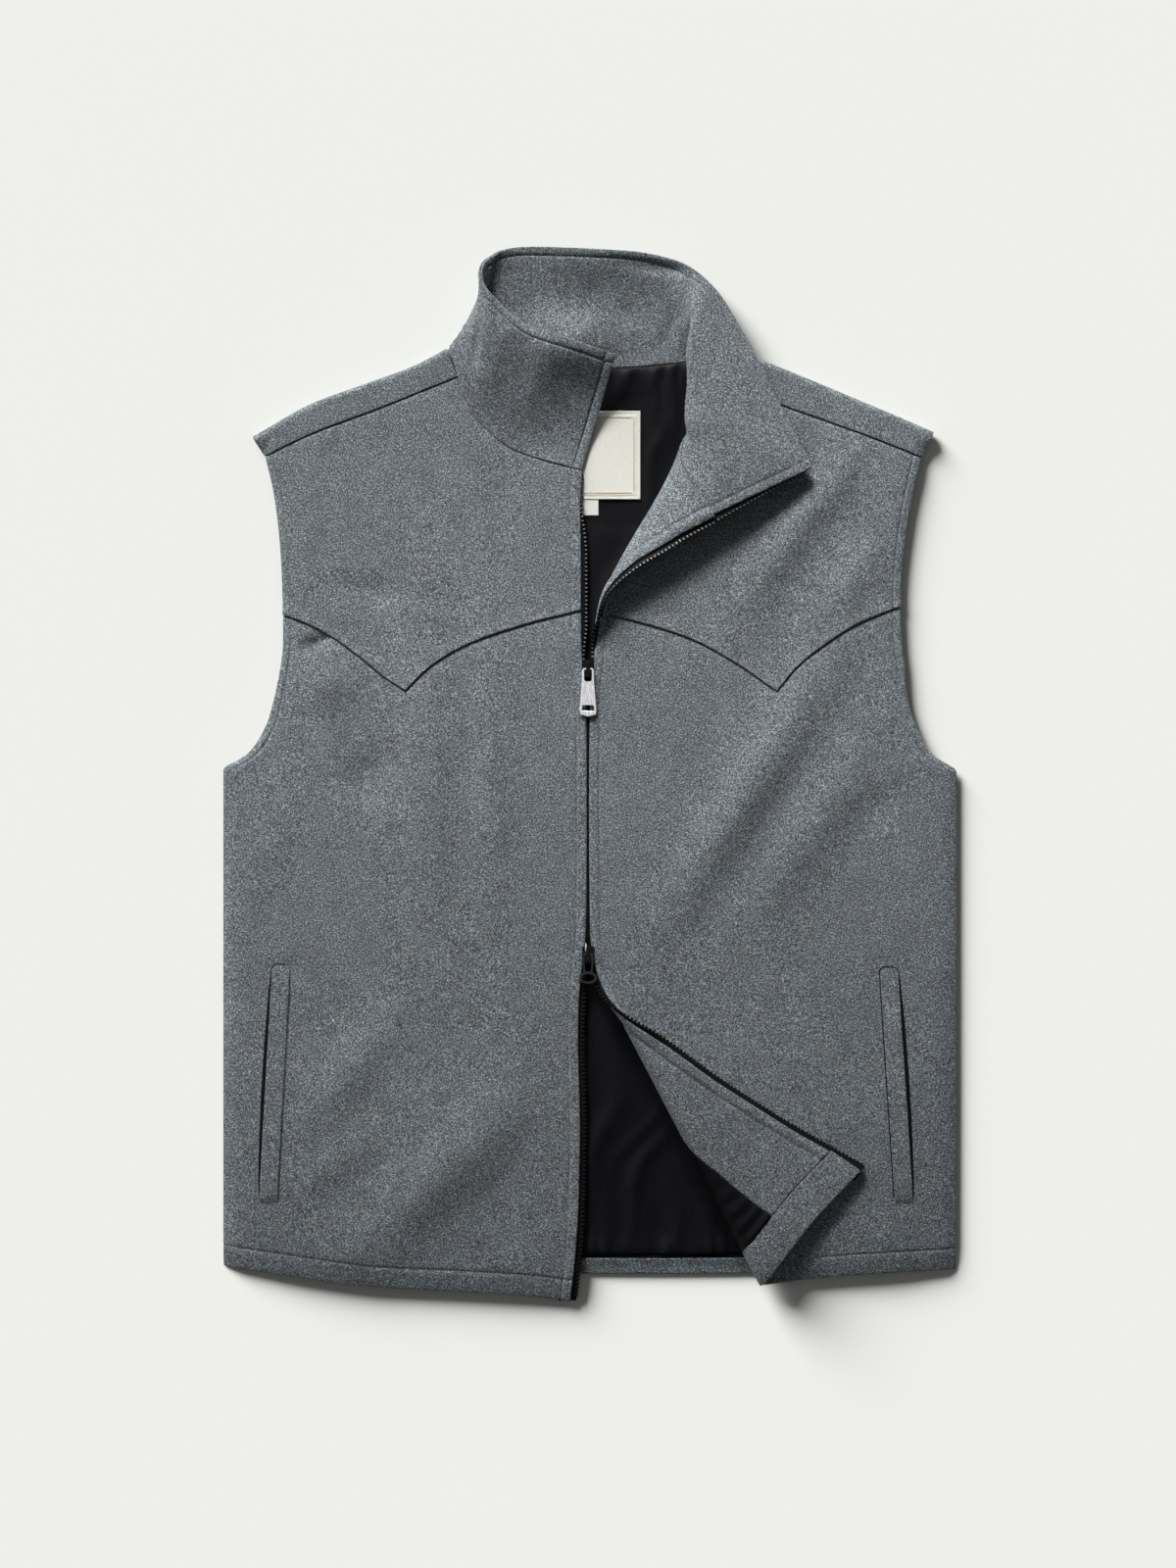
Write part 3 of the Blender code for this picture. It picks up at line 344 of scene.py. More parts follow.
# Folds of the satin where it shows: x, y, heading, half length, half width, height
LINING_FOLDS = [
    (8, -305, 86, 60, 6, 1.4),
    (25, -330, 72, 45, 6, -0.8),
    (37, -318, 68, 50, 5, 1.7),
    (52, -335, 75, 40, 6, -0.8),
    (62, -350, 65, 26, 5, 1.5),
    (90, -350, 75, 24, 6, 1.2),
    (20, -230, 80, 70, 9, 1.1),
    (40, -270, 62, 40, 5, 1.0),
    (2, -205, 88, 60, 5, -0.6),
    (18, 294, 80, 22, 4, 1.3),
    (42, 296, 96, 20, 4, 1.4),
    (58, 286, 92, 28, 4, 1.1),
    (50, 240, 84, 40, 5, 1.2),
    (60, 215, 78, 34, 5, -0.6),
    (35, 180, 75, 46, 7, 1.3),
    (20, 150, 80, 45, 5, 0.9),
]

# Heights of the back lining's drape, ripples, hem gathers, neck tucks, puff at the hem and folds
SATIN_REST = 0.5
SATIN_DRAPE = 0.35
SATIN_RIPPLE = 0.22
SATIN_GATHERS = 3.8
SATIN_TUCKS = 2.6
SATIN_PUFF = 0.9
SATIN_FOLDS = 1.3
SATIN_LOWEST = -0.2
SATIN_UNDER_LABEL = 0.2

# Distances of the stitching from the edges
HEM_STITCH = 16.5
ARM_STITCH = 6.5
ZIP_STITCH = 7.5
RIM_STITCH = 7.0
FACING_STITCH = 9.0
LABEL_STITCH = 2.2
LABEL_BORDER = 5.0
WELT_STITCH = 1.6
TACK_BELOW = 2.0

# How deep stitching sinks and how far an edge stands up. Seams are rows of depth and width
STITCH_DEEP = 0.6
RIM_STITCH_DEEP = 0.9
EDGE_RAISED = 0.35
YOKE_SEAM = [(0.5, 5.0), (0.8, 1.6)]
YOKE_EDGE = [(0.8, 6.0)]
SHOULDER_SEAM = [(0.4, 5.0), (0.8, 1.5)]

# Grid lines of a piece of cloth: distances from its edge, then from BETWEEN_FROM, then about its stitching
EDGE_STEPS = (0, 0.15, 0.4, 0.8, 1.4, 2.2, 3.4)
BETWEEN_FROM = 5.2
BETWEEN_STEP = 2.4
BETWEEN_CLEAR = 1.9
STITCH_CLEAR = 1.6
STITCH_STEPS = (-1.3, -0.8, -0.4, 0, 0.4, 0.8, 1.3, 2.2)

# Share of its thickness that cloth has at its very edge, points at which its lines are measured, how far
# a pin moves other grid lines, across and up, and the step over which a surface's normals are measured
EDGE_SHARE = 0.12
MEASURES = 81
PIN_ACROSS = 0.3
PIN_FADE = 3
NORMAL_STEP = 0.4


def ease(t):
    """A smooth step from 0 to 1."""
    t = np.clip(t, 0.0, 1.0)
    return t * t * (3 - 2 * t)


def both(u, v):
    """Two shares, or grids of them, as arrays of one shape."""
    return np.broadcast_arrays(np.asarray(u, float), np.asarray(v, float))


def between(ends, share):
    """The value at this share of the way."""
    return ends[0] + (ends[1] - ends[0]) * share


def unit(vectors):
    """The vectors at length 1."""
    return vectors / np.linalg.norm(vectors, axis=-1, keepdims=True)


def lengths(points):
    """Length along a line, from its start to each of its points."""
    return np.concatenate([[0], np.cumsum(np.linalg.norm(np.diff(points, axis=0), axis=1))])


def through(rows, at=None):
    """A smooth curve through the rows, as a function of the share along it."""
    rows = np.array(rows, float)
    at = lengths(rows) if at is None else np.array(at, float)
    at = (at - at[0]) / (at[-1] - at[0])
    slopes = np.gradient(rows, at, axis=0)

    def place(share):
        share = np.asarray(share, float)
        k = np.clip(np.searchsorted(at, share, "right") - 1, 0, len(at) - 2)
        span = (at[k + 1] - at[k])[..., None]
        t = (share - at[k])[..., None] / span
        return (rows[k] * (1 + 2 * t) * (1 - t) ** 2 + rows[k + 1] * t * t * (3 - 2 * t)
                + span * (slopes[k] * t * (1 - t) ** 2 - slopes[k + 1] * t * t * (1 - t)))

    return place


def joined(first, second, share):
    """Two curves end to end, meeting at this share of the whole."""

    def place(t):
        t = np.asarray(t, float)
        one = first(np.minimum(t / share, 1))
        two = second(np.maximum((t - share) / (1 - share), 0))
        return np.where((t <= share)[..., None], one, two)

    return place


def straight(a, b):
    """The straight line between two points."""
    a, b = np.array(a, float), np.array(b, float)
    return lambda t: a + (b - a) * np.asarray(t, float)[..., None]


def patch(low, high, near, far):
    """The flat piece between four edges that meet at its corners."""

    def place(u, v):
        u, v = both(u, v)
        a, b = u[..., None], v[..., None]
        corner = ((1 - a) * (1 - b) * low(0) + a * (1 - b) * low(1)
                  + (1 - a) * b * high(0) + a * b * high(1))
        return (1 - b) * low(u) + b * high(u) + (1 - a) * near(v) + a * far(v) - corner

    return place


def strip(bottom, top, wide):
    """A flat piece this wide with level ends, from the middle of its bottom to the middle of its top."""
    middle = straight(bottom, top)

    def place(u, v):
        u, v = both(u, v)
        return middle(v) + np.stack([(u - 0.5) * wide, 0 * u], -1)

    return place


def along_hem(hem, ends, rows):
    """A flat strip along a hem, between two shares of it and between two distances above it."""

    def place(u, v):
        u, v = both(u, v)
        return hem(between(ends, u)) + np.stack([0 * v, between(rows, v)], -1)

    return place


def outer_edge(front, y):
    """How far out the side and armhole edge lies at this height on a front."""
    rows = [front["side"][0]] + front["armhole"] + front["armhole_top"][1:]
    return np.interp(y, [row[1] for row in rows], [abs(row[0]) for row in rows])


def soft_folds(table, x, y):
    """Height of soft folds at a point, from rows of place, heading, half length, half width and height."""
    z = np.zeros(np.shape(x))
    for at_x, at_y, heading, long, wide, high in table:
        turn = math.radians(heading)
        along = (x - at_x) * math.cos(turn) + (y - at_y) * math.sin(turn)
        across = (y - at_y) * math.cos(turn) - (x - at_x) * math.sin(turn)
        z = z + high * np.exp(-(along / long) ** 2 - (across / wide) ** 2)
    return z


def front_z(front, x, y, folds=()):
    """Height of the middle of a front's wool where it lies on the back."""
    inside = outer_edge(front, y) - np.abs(x)
    from_zip = np.abs(x - ZIP_X)
    drop = SIDE_DROP + (ARM_DROP - SIDE_DROP) * ease((y - ARM_FROM) / ARM_OVER)
    z = FRONT_Z - drop * np.maximum(0.0, 1 - inside / ROLL_WIDE) ** 2
    lift = HEM_LIFT_KEPT + (1 - HEM_LIFT_KEPT) * ease(from_zip / HEM_LIFT_ZIP)
    lift = HEM_LIFT * lift * ease(inside / HEM_LIFT_SIDE)
    z = z + lift * ease((HEM_LIFT_FROM - y) / HEM_LIFT_OVER)
    hem_x, hem_y = np.array(front["hem"]).T
    above = y - np.interp(np.abs(x), np.abs(hem_x), hem_y)
    z = z - HEM_CURL * np.clip(1 - above / HEM_CURL_WIDE, 0, 1) ** 2
    still = ease(inside / FOLDS_FADE) * ease((from_zip - FOLDS_FROM_ZIP) / FOLDS_FADE)
    return z + still * soft_folds(folds, x, y)


def left_front(x, y):
    """Where a flat point of the left front lies."""
    return np.stack([x, y, front_z(LEFT, x, y, FOLDS)], -1)


lapel_edge = through([row[1:4] for row in LAPEL], [row[0] for row in LAPEL])
lapel_pose = through([row[4:] for row in LAPEL], [row[0] for row in LAPEL])


def lapel_shares(x, y):
    """Share up the lapel from its lowest point, and share across it from the turning line to the edge."""
    ax, ay = LAPEL_TURN[0] - LAPEL_AT[0], LAPEL_TURN[1] - LAPEL_AT[1]
    bx, by = LAPEL_EDGE[0] - LAPEL_AT[0], LAPEL_EDGE[1] - LAPEL_AT[1]
    dx, dy = x - LAPEL_AT[0], y - LAPEL_AT[1]
    to_turn = (dx * by - dy * bx) / (ax * by - ay * bx)
    to_edge = (ax * dy - ay * dx) / (ax * by - ay * bx)
    up = to_turn + to_edge
    return up, np.where(up > 1e-6, to_edge / np.where(up > 1e-6, up, 1), 0.0)


def lapel(up, over):
    """The open lapel: each section leaves the front along it and rolls over to the edge."""
    turn = np.array(LAPEL_AT) + up[..., None] * (np.array(LAPEL_TURN) - LAPEL_AT)
    way = np.array(LAPEL_EDGE, float) - LAPEL_TURN
    wide = (up * np.linalg.norm(way))[..., None]
    way = np.append(way / np.linalg.norm(way), 0.0)
    heading, stand, stands_out = np.moveaxis(lapel_pose(np.minimum(up, 1.0)), -1, 0)
    heading, stand = np.radians(heading), np.radians(stand)
    level = np.cos(stand)
    back = np.stack([np.cos(heading) * level, np.sin(heading) * level, -np.sin(stand)], -1)
    start = np.concatenate([turn, front_z(RIGHT, turn[..., 0], turn[..., 1])[..., None]], -1)
    edge = lapel_edge(up)
    shaped = ease(up / LAPEL_SHAPED)[..., None]
    a = start + way * wide * stands_out[..., None] / 3
    b = edge + back * wide * (1 + (LAPEL_LIE - 1) * shaped) / 3
    t = np.minimum(over, 1.0)[..., None]
    place = start * (1 - t) ** 3 + 3 * a * t * (1 - t) ** 2 + 3 * b * t * t * (1 - t) + edge * t ** 3
    return place + (edge - b) * 3 * np.maximum(0.0, over - 1)[..., None]


def fold_place(x, y):
    """How far a point lies along the lower fold, and how far beyond its line towards the zip."""
    dx, dy = x - FOLD_AT[0], y - FOLD_AT[1]
    return dx * FOLD_ALONG[0] + dy * FOLD_ALONG[1], dx * FOLD_ALONG[1] - dy * FOLD_ALONG[0]


fold_roll = through([row[1:] for row in FOLD], [row[0] for row in FOLD])


def lower_fold(along, beyond):
    """The lower corner turned back over the front: flat by the zip slider, then turned right over."""
    radius, turn = np.moveaxis(fold_roll(np.clip(along / FOLD[-1][0], 0, 1)), -1, 0)
    turn = np.radians(turn)
    before = radius + FOLD_COVER * ease(along / FOLD_COVER_OVER)
    out = beyond + before
    rolled = np.minimum(out, radius * turn)
    angle = rolled / radius
    side = radius * np.sin(angle) + (out - rolled) * np.cos(turn) - before
    up = radius * (1 - np.cos(angle)) + (out - rolled) * np.sin(turn)
    left = np.array((FOLD_ALONG[1], -FOLD_ALONG[0]))
    foot = np.array(FOLD_AT) + along[..., None] * np.array(FOLD_ALONG)
    start = foot - before[..., None] * left
    z = front_z(RIGHT, start[..., 0], start[..., 1]) + up
    return np.concatenate([foot + side[..., None] * left, z[..., None]], -1), out > 0


def right_front(x, y):
    """Where a flat point of the right front lies, with its lapel open and its lower corner turned back."""
    x, y = both(x, y)
    place = np.stack([x, y, front_z(RIGHT, x, y, FOLDS)], -1)
    up, over = lapel_shares(x, y)
    turned = (up > 0) & (over > 0) & (y > LAPEL_AT[1])
    if turned.any():
        place[turned] = lapel(up[turned], over[turned])
    along, beyond = fold_place(x, y)
    near = (along > 0) & (y < FOLD_AT[1])
    if near.any():
        folded, is_out = lower_fold(along[near], beyond[near])
        place[near] = np.where(is_out[..., None], folded, place[near])
    return place


def placed(surface, a, b, step=NORMAL_STEP):
    """Points of a surface and its outward normals."""
    across = surface(a + step, b) - surface(a - step, b)
    along = surface(a, b + step) - surface(a, b - step)
    normal = np.cross(across, along)
    return surface(a, b), unit(normal)


def run_along(points, axis):
    """Length along the lines of a grid of points, from their start."""
    total = np.cumsum(np.linalg.norm(np.diff(points, axis=axis), axis=2), axis=axis)
    return np.pad(total, [(1, 0), (0, 0)] if axis == 0 else [(0, 0), (1, 0)])


def steps(stitch=None):
    """Distances from an edge at which a piece has grid lines: fine at the edge and at its stitching."""
    near = list(EDGE_STEPS)
    if stitch:
        near += list(np.arange(BETWEEN_FROM, stitch - BETWEEN_CLEAR, BETWEEN_STEP))
        near = [distance for distance in near if distance < stitch - STITCH_CLEAR]
        near += [stitch + distance for distance in STITCH_STEPS]
    return np.array(near)


# Steps from the two opposite edges of a plain piece, and of a thin tape
PLAIN = (steps(), steps())
NARROW = (steps()[:3], steps()[:3])


def shares(run, at, near, far, count):
    """Shares along a line with this run of lengths: fine steps from both ends and even ones between."""
    far = run[-1] - far[::-1]
    even = np.linspace(near[-1], far[0], count + 2)[1:-1]
    return np.interp(np.concatenate([near, even, far]), run, at)


def lattice(place, across, along, spacing, pins):
    """Shares across and up a piece. A pin is a share across the low or high edge that keeps a grid line."""
    at = np.linspace(0, 1, MEASURES)
    coarse = place(*np.meshgrid(at, at, indexing="ij"))
    run_u, run_v = run_along(coarse, 0), run_along(coarse, 1)
    count_u = max(1, round((run_u[-1].max() - across[0][-1] - across[1][-1]) / spacing))
    count_v = max(1, round((run_v[:, -1].max() - along[0][-1] - along[1][-1]) / spacing))
    first_v = shares(run_v[MEASURES // 2], at, *along, count_v)
    first_u = shares(run_u[:, MEASURES // 2], at, *across, count_u)

    def across_at(v):
        return shares(np.array([np.interp(v, at, row) for row in run_u]), at, *across, count_u)

    def along_at(u):
        return shares(np.array([np.interp(u, at, column) for column in run_v.T]), at, *along, count_v)

    u = np.stack([across_at(v) for v in first_v], 1)
    v = np.stack([along_at(w) for w in first_u], 0)
    for pin, edge, away in zip(pins, (0, -1), (first_v, 1 - first_v)):
        if pin is not None:
            k = np.argmin(np.abs(u[:, edge] - pin))
            shift = (pin - u[k]) * (1 - ease(away * PIN_FADE))
            u = u + shift * np.maximum(0, 1 - np.abs(u - u[k]) / PIN_ACROSS)
    return u, v


def added(name, data):
    """A new object in the scene."""
    thing = bpy.data.objects.new(name, data)
    bpy.context.scene.collection.objects.link(thing)
    return thing


def new_piece(name, points, faces, finish, body="vest"):
    """A smooth mesh object from points in millimetres, riding on a body."""
    data = bpy.data.meshes.new(name)
    data.from_pydata((np.asarray(points) * MM).tolist(), [], faces)
    data.validate()
    thing = added(name, data)
    data.materials.append(finish)
    data.shade_smooth()
    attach(thing, body)
    return thing


def grid_faces(index, flip=False):
    """Faces between the points of a grid of indices."""
    faces = np.stack([index[:-1, :-1], index[1:, :-1], index[1:, 1:], index[:-1, 1:]], -1).reshape(-1, 4)
    return faces[:, ::-1] if flip else faces


def shell_faces(rows, columns, flip):
    """Faces of a closed shell between two grids of points, the first on the side of the normals."""
    size = rows * columns
    index = np.arange(size).reshape(rows, columns)
    ring = np.concatenate([index[:-1, 0], index[-1, :-1], index[:0:-1, -1], index[0, :0:-1]])
    after = np.roll(ring, -1)
    wall = np.stack([ring, ring + size, after + size, after], -1)
    under = grid_faces(index + size)[:, [0, 3, 2, 1]]
    faces = np.concatenate([grid_faces(index), under, wall])
    return (faces[:, ::-1] if flip else faces).tolist()


def cloth(name, node, flat, surface, grid, out, thick, finish, rise=None, pins=(None, None),
          step=NORMAL_STEP, spacing=2.5, round_by=1.4, soft=()):
    """A piece of cloth in place of a node, if one is named: its flat cut laid on a surface of the garment
    and moved out, with soft edges. The grid is its steps across and along, and soft names the edges that
    are rounded by another amount."""

    def place(u, v):
        return surface(*np.moveaxis(flat(u, v), -1, 0))

    u, v = lattice(place, *grid, spacing, pins)
    a, b = np.moveaxis(flat(u, v), -1, 0)
    points, normals = placed(surface, a, b, step)
    run_u, run_v = run_along(points, 0), run_along(points, 1)
    edges = {"near": run_u, "far": run_u[-1] - run_u, "low": run_v, "high": run_v[:, -1:] - run_v}
    rounds = {edge: round_by for edge in edges} | dict(soft)
    rim = np.minimum.reduce([away / rounds[edge] for edge, away in edges.items()])
    half = thick / 2 * (EDGE_SHARE + (1 - EDGE_SHARE) * np.sqrt(1 - (1 - np.clip(rim, 0, 1)) ** 2))
    lift = out + (rise(a, b, u, v, edges) if rise else 0 * a)
    top = points + normals * (lift + half)[..., None]
    low = points + normals * (lift - half)[..., None]
    turn = np.cross(points[1:, :-1] - points[:-1, :-1], points[:-1, 1:] - points[:-1, :-1])
    flip = (turn * normals[:-1, :-1]).sum() < 0
    both_sides = np.concatenate([top.reshape(-1, 3), low.reshape(-1, 3)])
    thing = new_piece(name, both_sides, shell_faces(*u.shape, flip), finish)
    if node:
        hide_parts(node)
    area = np.linalg.norm(turn, axis=-1).sum() * MM * MM
    return {"object": thing, "top": top, "low": low, "normals": normals, "edges": edges, "area": area,
            "size": (run_u[-1].max() * MM, run_v[:, -1].max() * MM)}


def declare(piece, held):
    """Works out the smaller of a piece's area and its width times its length, and keeps nothing."""
    wide, long = piece["size"]
    min(piece["area"], wide * long)


def sample(run, values, at):
    """Points or normals on a line, at lengths along its run."""
    return np.stack([np.interp(at, run, values[:, k]) for k in range(3)], -1)


def line_on(piece, edge, distance, face="top", span=(0.0, 1.0)):
    """Points and normals along a line at this distance from an edge of a piece of cloth."""
    parts = [piece[face], piece["normals"], piece["edges"][edge]]
    if edge in ("near", "far"):
        parts = [part.swapaxes(0, 1) for part in parts]
    if edge in ("far", "high"):
        parts = [part[:, ::-1] for part in parts]
    grid, normals, away = parts
    last = len(grid) - 1
    chosen = range(int(span[0] * last), int(span[1] * last) + 1)
    points = np.array([sample(away[i], grid[i], distance) for i in chosen])
    ups = np.array([sample(away[i], normals[i], distance) for i in chosen])
    return points, ups * (1 if face == "top" else -1)


def groove(away, distance, wide=0.9):
    """Share of a stitching groove at this distance from its edge."""
    return np.exp(-((away - distance) / wide) ** 2)


def bar_faces(bars, rings, corners):
    """Faces of small bars with rings of points along them: for each bar its sides, then its two ends."""
    faces = []
    for first in range(0, bars * rings * corners, rings * corners):
        last = first + (rings - 1) * corners
        for start in range(first, last, corners):
            for i in range(corners):
                j = (i + 1) % corners
                faces.append((start + i, start + j, start + corners + j, start + corners + i))
        faces.append(tuple(range(first + corners - 1, first - 1, -1)))
        faces.append(tuple(range(last, last + corners)))
    return faces


# A stitch: rows of share along it, height and share of its thickness, and its number of sides
STITCH_RINGS = ((0.0, -0.25, 0.5), (0.25, 0.1, 1), (0.75, 0.1, 1), (1.0, -0.25, 0.5))
STITCH_SIDES = 6


def sewing(name, lines, finish, pitch=3.2, long=2.3, thick=0.5):
    """Thread along lines on the cloth, a small bowed capsule for each stitch."""
    points = []
    turns = np.linspace(0, 2 * math.pi, STITCH_SIDES + 1)[:-1]
    for line, ups in lines:
        run = lengths(line)
        starts = np.arange(pitch / 2, run[-1] - long, pitch)
        up = unit(sample(run, ups, starts + long / 2))
        side = np.cross(up, unit(sample(run, line, starts + long) - sample(run, line, starts)))
        rings = []
        for share, lift, size in STITCH_RINGS:
            middle = sample(run, line, starts + share * long) + up * lift
            ring = [middle + thick / 2 * size * (math.cos(t) * side + math.sin(t) * up) for t in turns]
            rings.append(np.stack(ring, 1))
        points.append(np.stack(rings, 1).reshape(-1, 3))
    points = np.concatenate(points)
    stitches = len(points) // (len(STITCH_RINGS) * STITCH_SIDES)
    faces = bar_faces(stitches, len(STITCH_RINGS), STITCH_SIDES)
    return new_piece(name, points, faces, finish)


def settled(node, settings):
    """A shader node with these values set on its sockets."""
    for socket, value in settings.items():
        node.inputs[socket].default_value = value
    return node


def blank(name, settings):
    """A new material, with these values set on its shader."""
    finish = bpy.data.materials.new(name)
    finish.use_nodes = True
    shader = settled(finish.node_tree.nodes["Principled BSDF"], settings)
    return finish, finish.node_tree, shader


def noise(tree, scale, detail=3.0, roughness=0.6, distortion=0.0, stretch=(1.0, 1.0, 1.0)):
    """Noise through the object, at this many features per metre."""
    where = tree.nodes.new("ShaderNodeTexCoord")
    mapping = settled(tree.nodes.new("ShaderNodeMapping"), {"Scale": stretch})
    made = settled(tree.nodes.new("ShaderNodeTexNoise"), {
        "Scale": scale, "Detail": detail, "Roughness": roughness, "Distortion": distortion})
    tree.links.new(where.outputs["Object"], mapping.inputs["Vector"])
    tree.links.new(mapping.outputs["Vector"], made.inputs["Vector"])
    return made.outputs["Fac"]


def ramp(tree, value, stops):
    """Colours by value: rows of value and colour."""
    made = tree.nodes.new("ShaderNodeValToRGB")
    parts = made.color_ramp.elements
    while len(parts) < len(stops):
        parts.new(0.5)
    for part, (at, colour) in zip(parts, stops):
        part.position = at
        part.color = (*colour, 1)
    tree.links.new(value, made.inputs["Fac"])
    return made.outputs["Color"]


def multiplied(tree, a, b):
    """The product of two colours."""
    made = tree.nodes.new("ShaderNodeMix")
    made.data_type = "RGBA"
    made.blend_type = "MULTIPLY"
    made.inputs[0].default_value = 1.0
    tree.links.new(a, made.inputs[6])
    tree.links.new(b, made.inputs[7])
    return made.outputs[2]


def bumped(tree, shader, height, strength, distance):
    made = settled(tree.nodes.new("ShaderNodeBump"), {"Strength": strength, "Distance": distance})
    tree.links.new(height, made.inputs["Height"])
    tree.links.new(made.outputs["Normal"], shader.inputs["Normal"])


def grey(value):
    return (value, value, value)


def shade(colour, share):
    """A darker or lighter colour."""
    return tuple(part * share for part in colour)


def wool_finish(name):
    """Felted grey wool: fine light and dark fibres, specks of bluer and of warmer grey, and a little fuzz."""
    finish, tree, shader = blank(name, {"Roughness": 0.95, "Specular IOR Level": 0.2, "Sheen Weight": 0.12,
                                        "Sheen Roughness": 0.5})
    fibres = noise(tree, 1000, 2.5, 0.62, 0.6)
    specks = ramp(tree, fibres, [
        (0.33, (0.023, 0.0264, 0.031)),
        (0.45, (0.082, 0.0934, 0.103)),
        (0.535, (0.155, 0.1736, 0.189)),
        (0.67, (0.47, 0.502, 0.532)),
    ])
    tint = ramp(tree, noise(tree, 460, 3, 0.6), [
        (0.36, (0.91, 0.98, 1.09)),
        (0.50, (1.0, 1.0, 1.0)),
        (0.64, (1.09, 1.015, 0.89)),
    ])
    clouds = ramp(tree, noise(tree, 60, 4, 0.7), [(0.3, grey(0.86)), (0.7, grey(1.14))])
    colour = multiplied(tree, multiplied(tree, specks, tint), clouds)
    tree.links.new(colour, shader.inputs["Base Color"])
    bumped(tree, shader, fibres, 0.7, 0.0009)
    return finish


def grained(name, grain, low, high, spread, bump, settings):
    """A finish from a low to a high colour with a fine grain, which is also its bump."""
    finish, tree, shader = blank(name, settings)
    value = noise(tree, *grain)
    colour = ramp(tree, value, [(0.5 - spread, low), (0.5 + spread, high)])
    tree.links.new(colour, shader.inputs["Base Color"])
    bumped(tree, shader, value, *bump)
    return finish, tree, shader, value


def uneven_gloss(tree, shader, value, low, high):
    gloss = ramp(tree, value, [(0.3, grey(low)), (0.7, grey(high))])
    tree.links.new(gloss, shader.inputs["Roughness"])


def satin_finish(name):
    finish, tree, shader, _ = grained(name, (900, 2, 0.5, 0.0, (1.0, 0.12, 1.0)), (0.0042, 0.0044, 0.0055),
                                      (0.0068, 0.0070, 0.0086), 0.2, (0.25, 0.0002),
                                      {"Specular IOR Level": 0.09})
    uneven_gloss(tree, shader, noise(tree, 25, 3, 0.6), 0.50, 0.60)
    return finish


def thread_finish(name, colour, spread):
    return grained(name, (1400, 2, 0.6), shade(colour, 1 - spread), shade(colour, 1 + spread), 0.15,
                   (0.4, 0.0002), {"Roughness": 0.75})[0]


def woven_finish(name, colour):
    return grained(name, (1600, 2, 0.5, 0.0, (1.0, 0.3, 1.0)), shade(colour, 0.9), colour, 0.2,
                   (0.3, 0.0002), {"Roughness": 0.8, "Specular IOR Level": 0.15})[0]


def metal_finish(name, colour, low, high, metallic):
    """Brushed metal with this range of roughness, or enamel where metallic is 0."""
    finish, tree, shader, brushed = grained(name, (2600, 3, 0.6, 0.0, (1.0, 0.06, 1.0)), shade(colour, 0.88),
                                            colour, 0.2, (0.15, 0.0001), {"Metallic": metallic})
    uneven_gloss(tree, shader, brushed, low, high)
    return finish


wool = wool_finish("grey_wool")
satin = satin_finish("black_satin")
thread = thread_finish("grey_thread", (0.15, 0.16, 0.17), 0.2)
dark_thread = thread_finish("dark_thread", (0.05, 0.053, 0.058), 0.2)
rose_thread = thread_finish("rose_thread", (0.22, 0.19, 0.20), 0.2)
cream_thread = thread_finish("cream_thread", (0.72, 0.70, 0.64), 0.1)
cream = woven_finish("cream_tape", (0.72, 0.71, 0.645))
orange = thread_finish("orange_thread", (0.55, 0.33, 0.08), 0.15)
tape_black = woven_finish("zip_tape_black", (0.006, 0.006, 0.0065))
tooth_black = woven_finish("zip_tooth_black", (0.004, 0.004, 0.0045))
# Light grey finish for the teeth's end faces above the upper slider: a painted glint
tooth_painted_glint = metal_finish("zip_tooth_painted_glint", (0.15, 0.15, 0.155), 0.3, 0.45, 0.0)
slider_black = metal_finish("slider_black", (0.006, 0.006, 0.0065), 0.14, 0.22, 0.0)
silver = metal_finish("brushed_silver", (0.86, 0.85, 0.87), 0.2, 0.34, 0.3)
dark_metal = metal_finish("dark_metal", (0.13, 0.13, 0.14), 0.3, 0.42, 1.0)


def raised(away, stitch):
    """Share by which an edge stands up, from itself to just before its stitching."""
    return 1 - ease((away - stitch + 1) / 1.5)


def dip(away, rows):
    """How far a seam pulls the cloth in, from rows of depth and width."""
    return sum(deep * np.exp(-(away / wide) ** 2) for deep, wide in rows)


def front_rise(x, y, u, v, edges):
    """Grooves and raised edges of the stitching on the lower part of a front."""
    arm = ease((v - UNDERARM + 0.01) / 0.03)
    stitch = groove(edges["low"], HEM_STITCH) + groove(edges["near"], ZIP_STITCH)
    stitch = stitch + arm * groove(edges["far"], ARM_STITCH)
    edge = raised(edges["near"], ZIP_STITCH) + arm * raised(edges["far"], ARM_STITCH)
    return EDGE_RAISED * np.minimum(edge, 1) - STITCH_DEEP * stitch - dip(edges["high"], YOKE_SEAM)


def yoke_rise(x, y, u, v, edges):
    """The same on a yoke, which lies over the body at its seam."""
    stitch = groove(edges["near"], ZIP_STITCH) + groove(edges["far"], ARM_STITCH)
    edge = raised(edges["near"], ZIP_STITCH) + raised(edges["far"], ARM_STITCH)
    seams = dip(edges["low"], YOKE_EDGE) - dip(edges["high"], SHOULDER_SEAM)
    return EDGE_RAISED * np.minimum(edge, 1) - STITCH_DEEP * stitch + seams


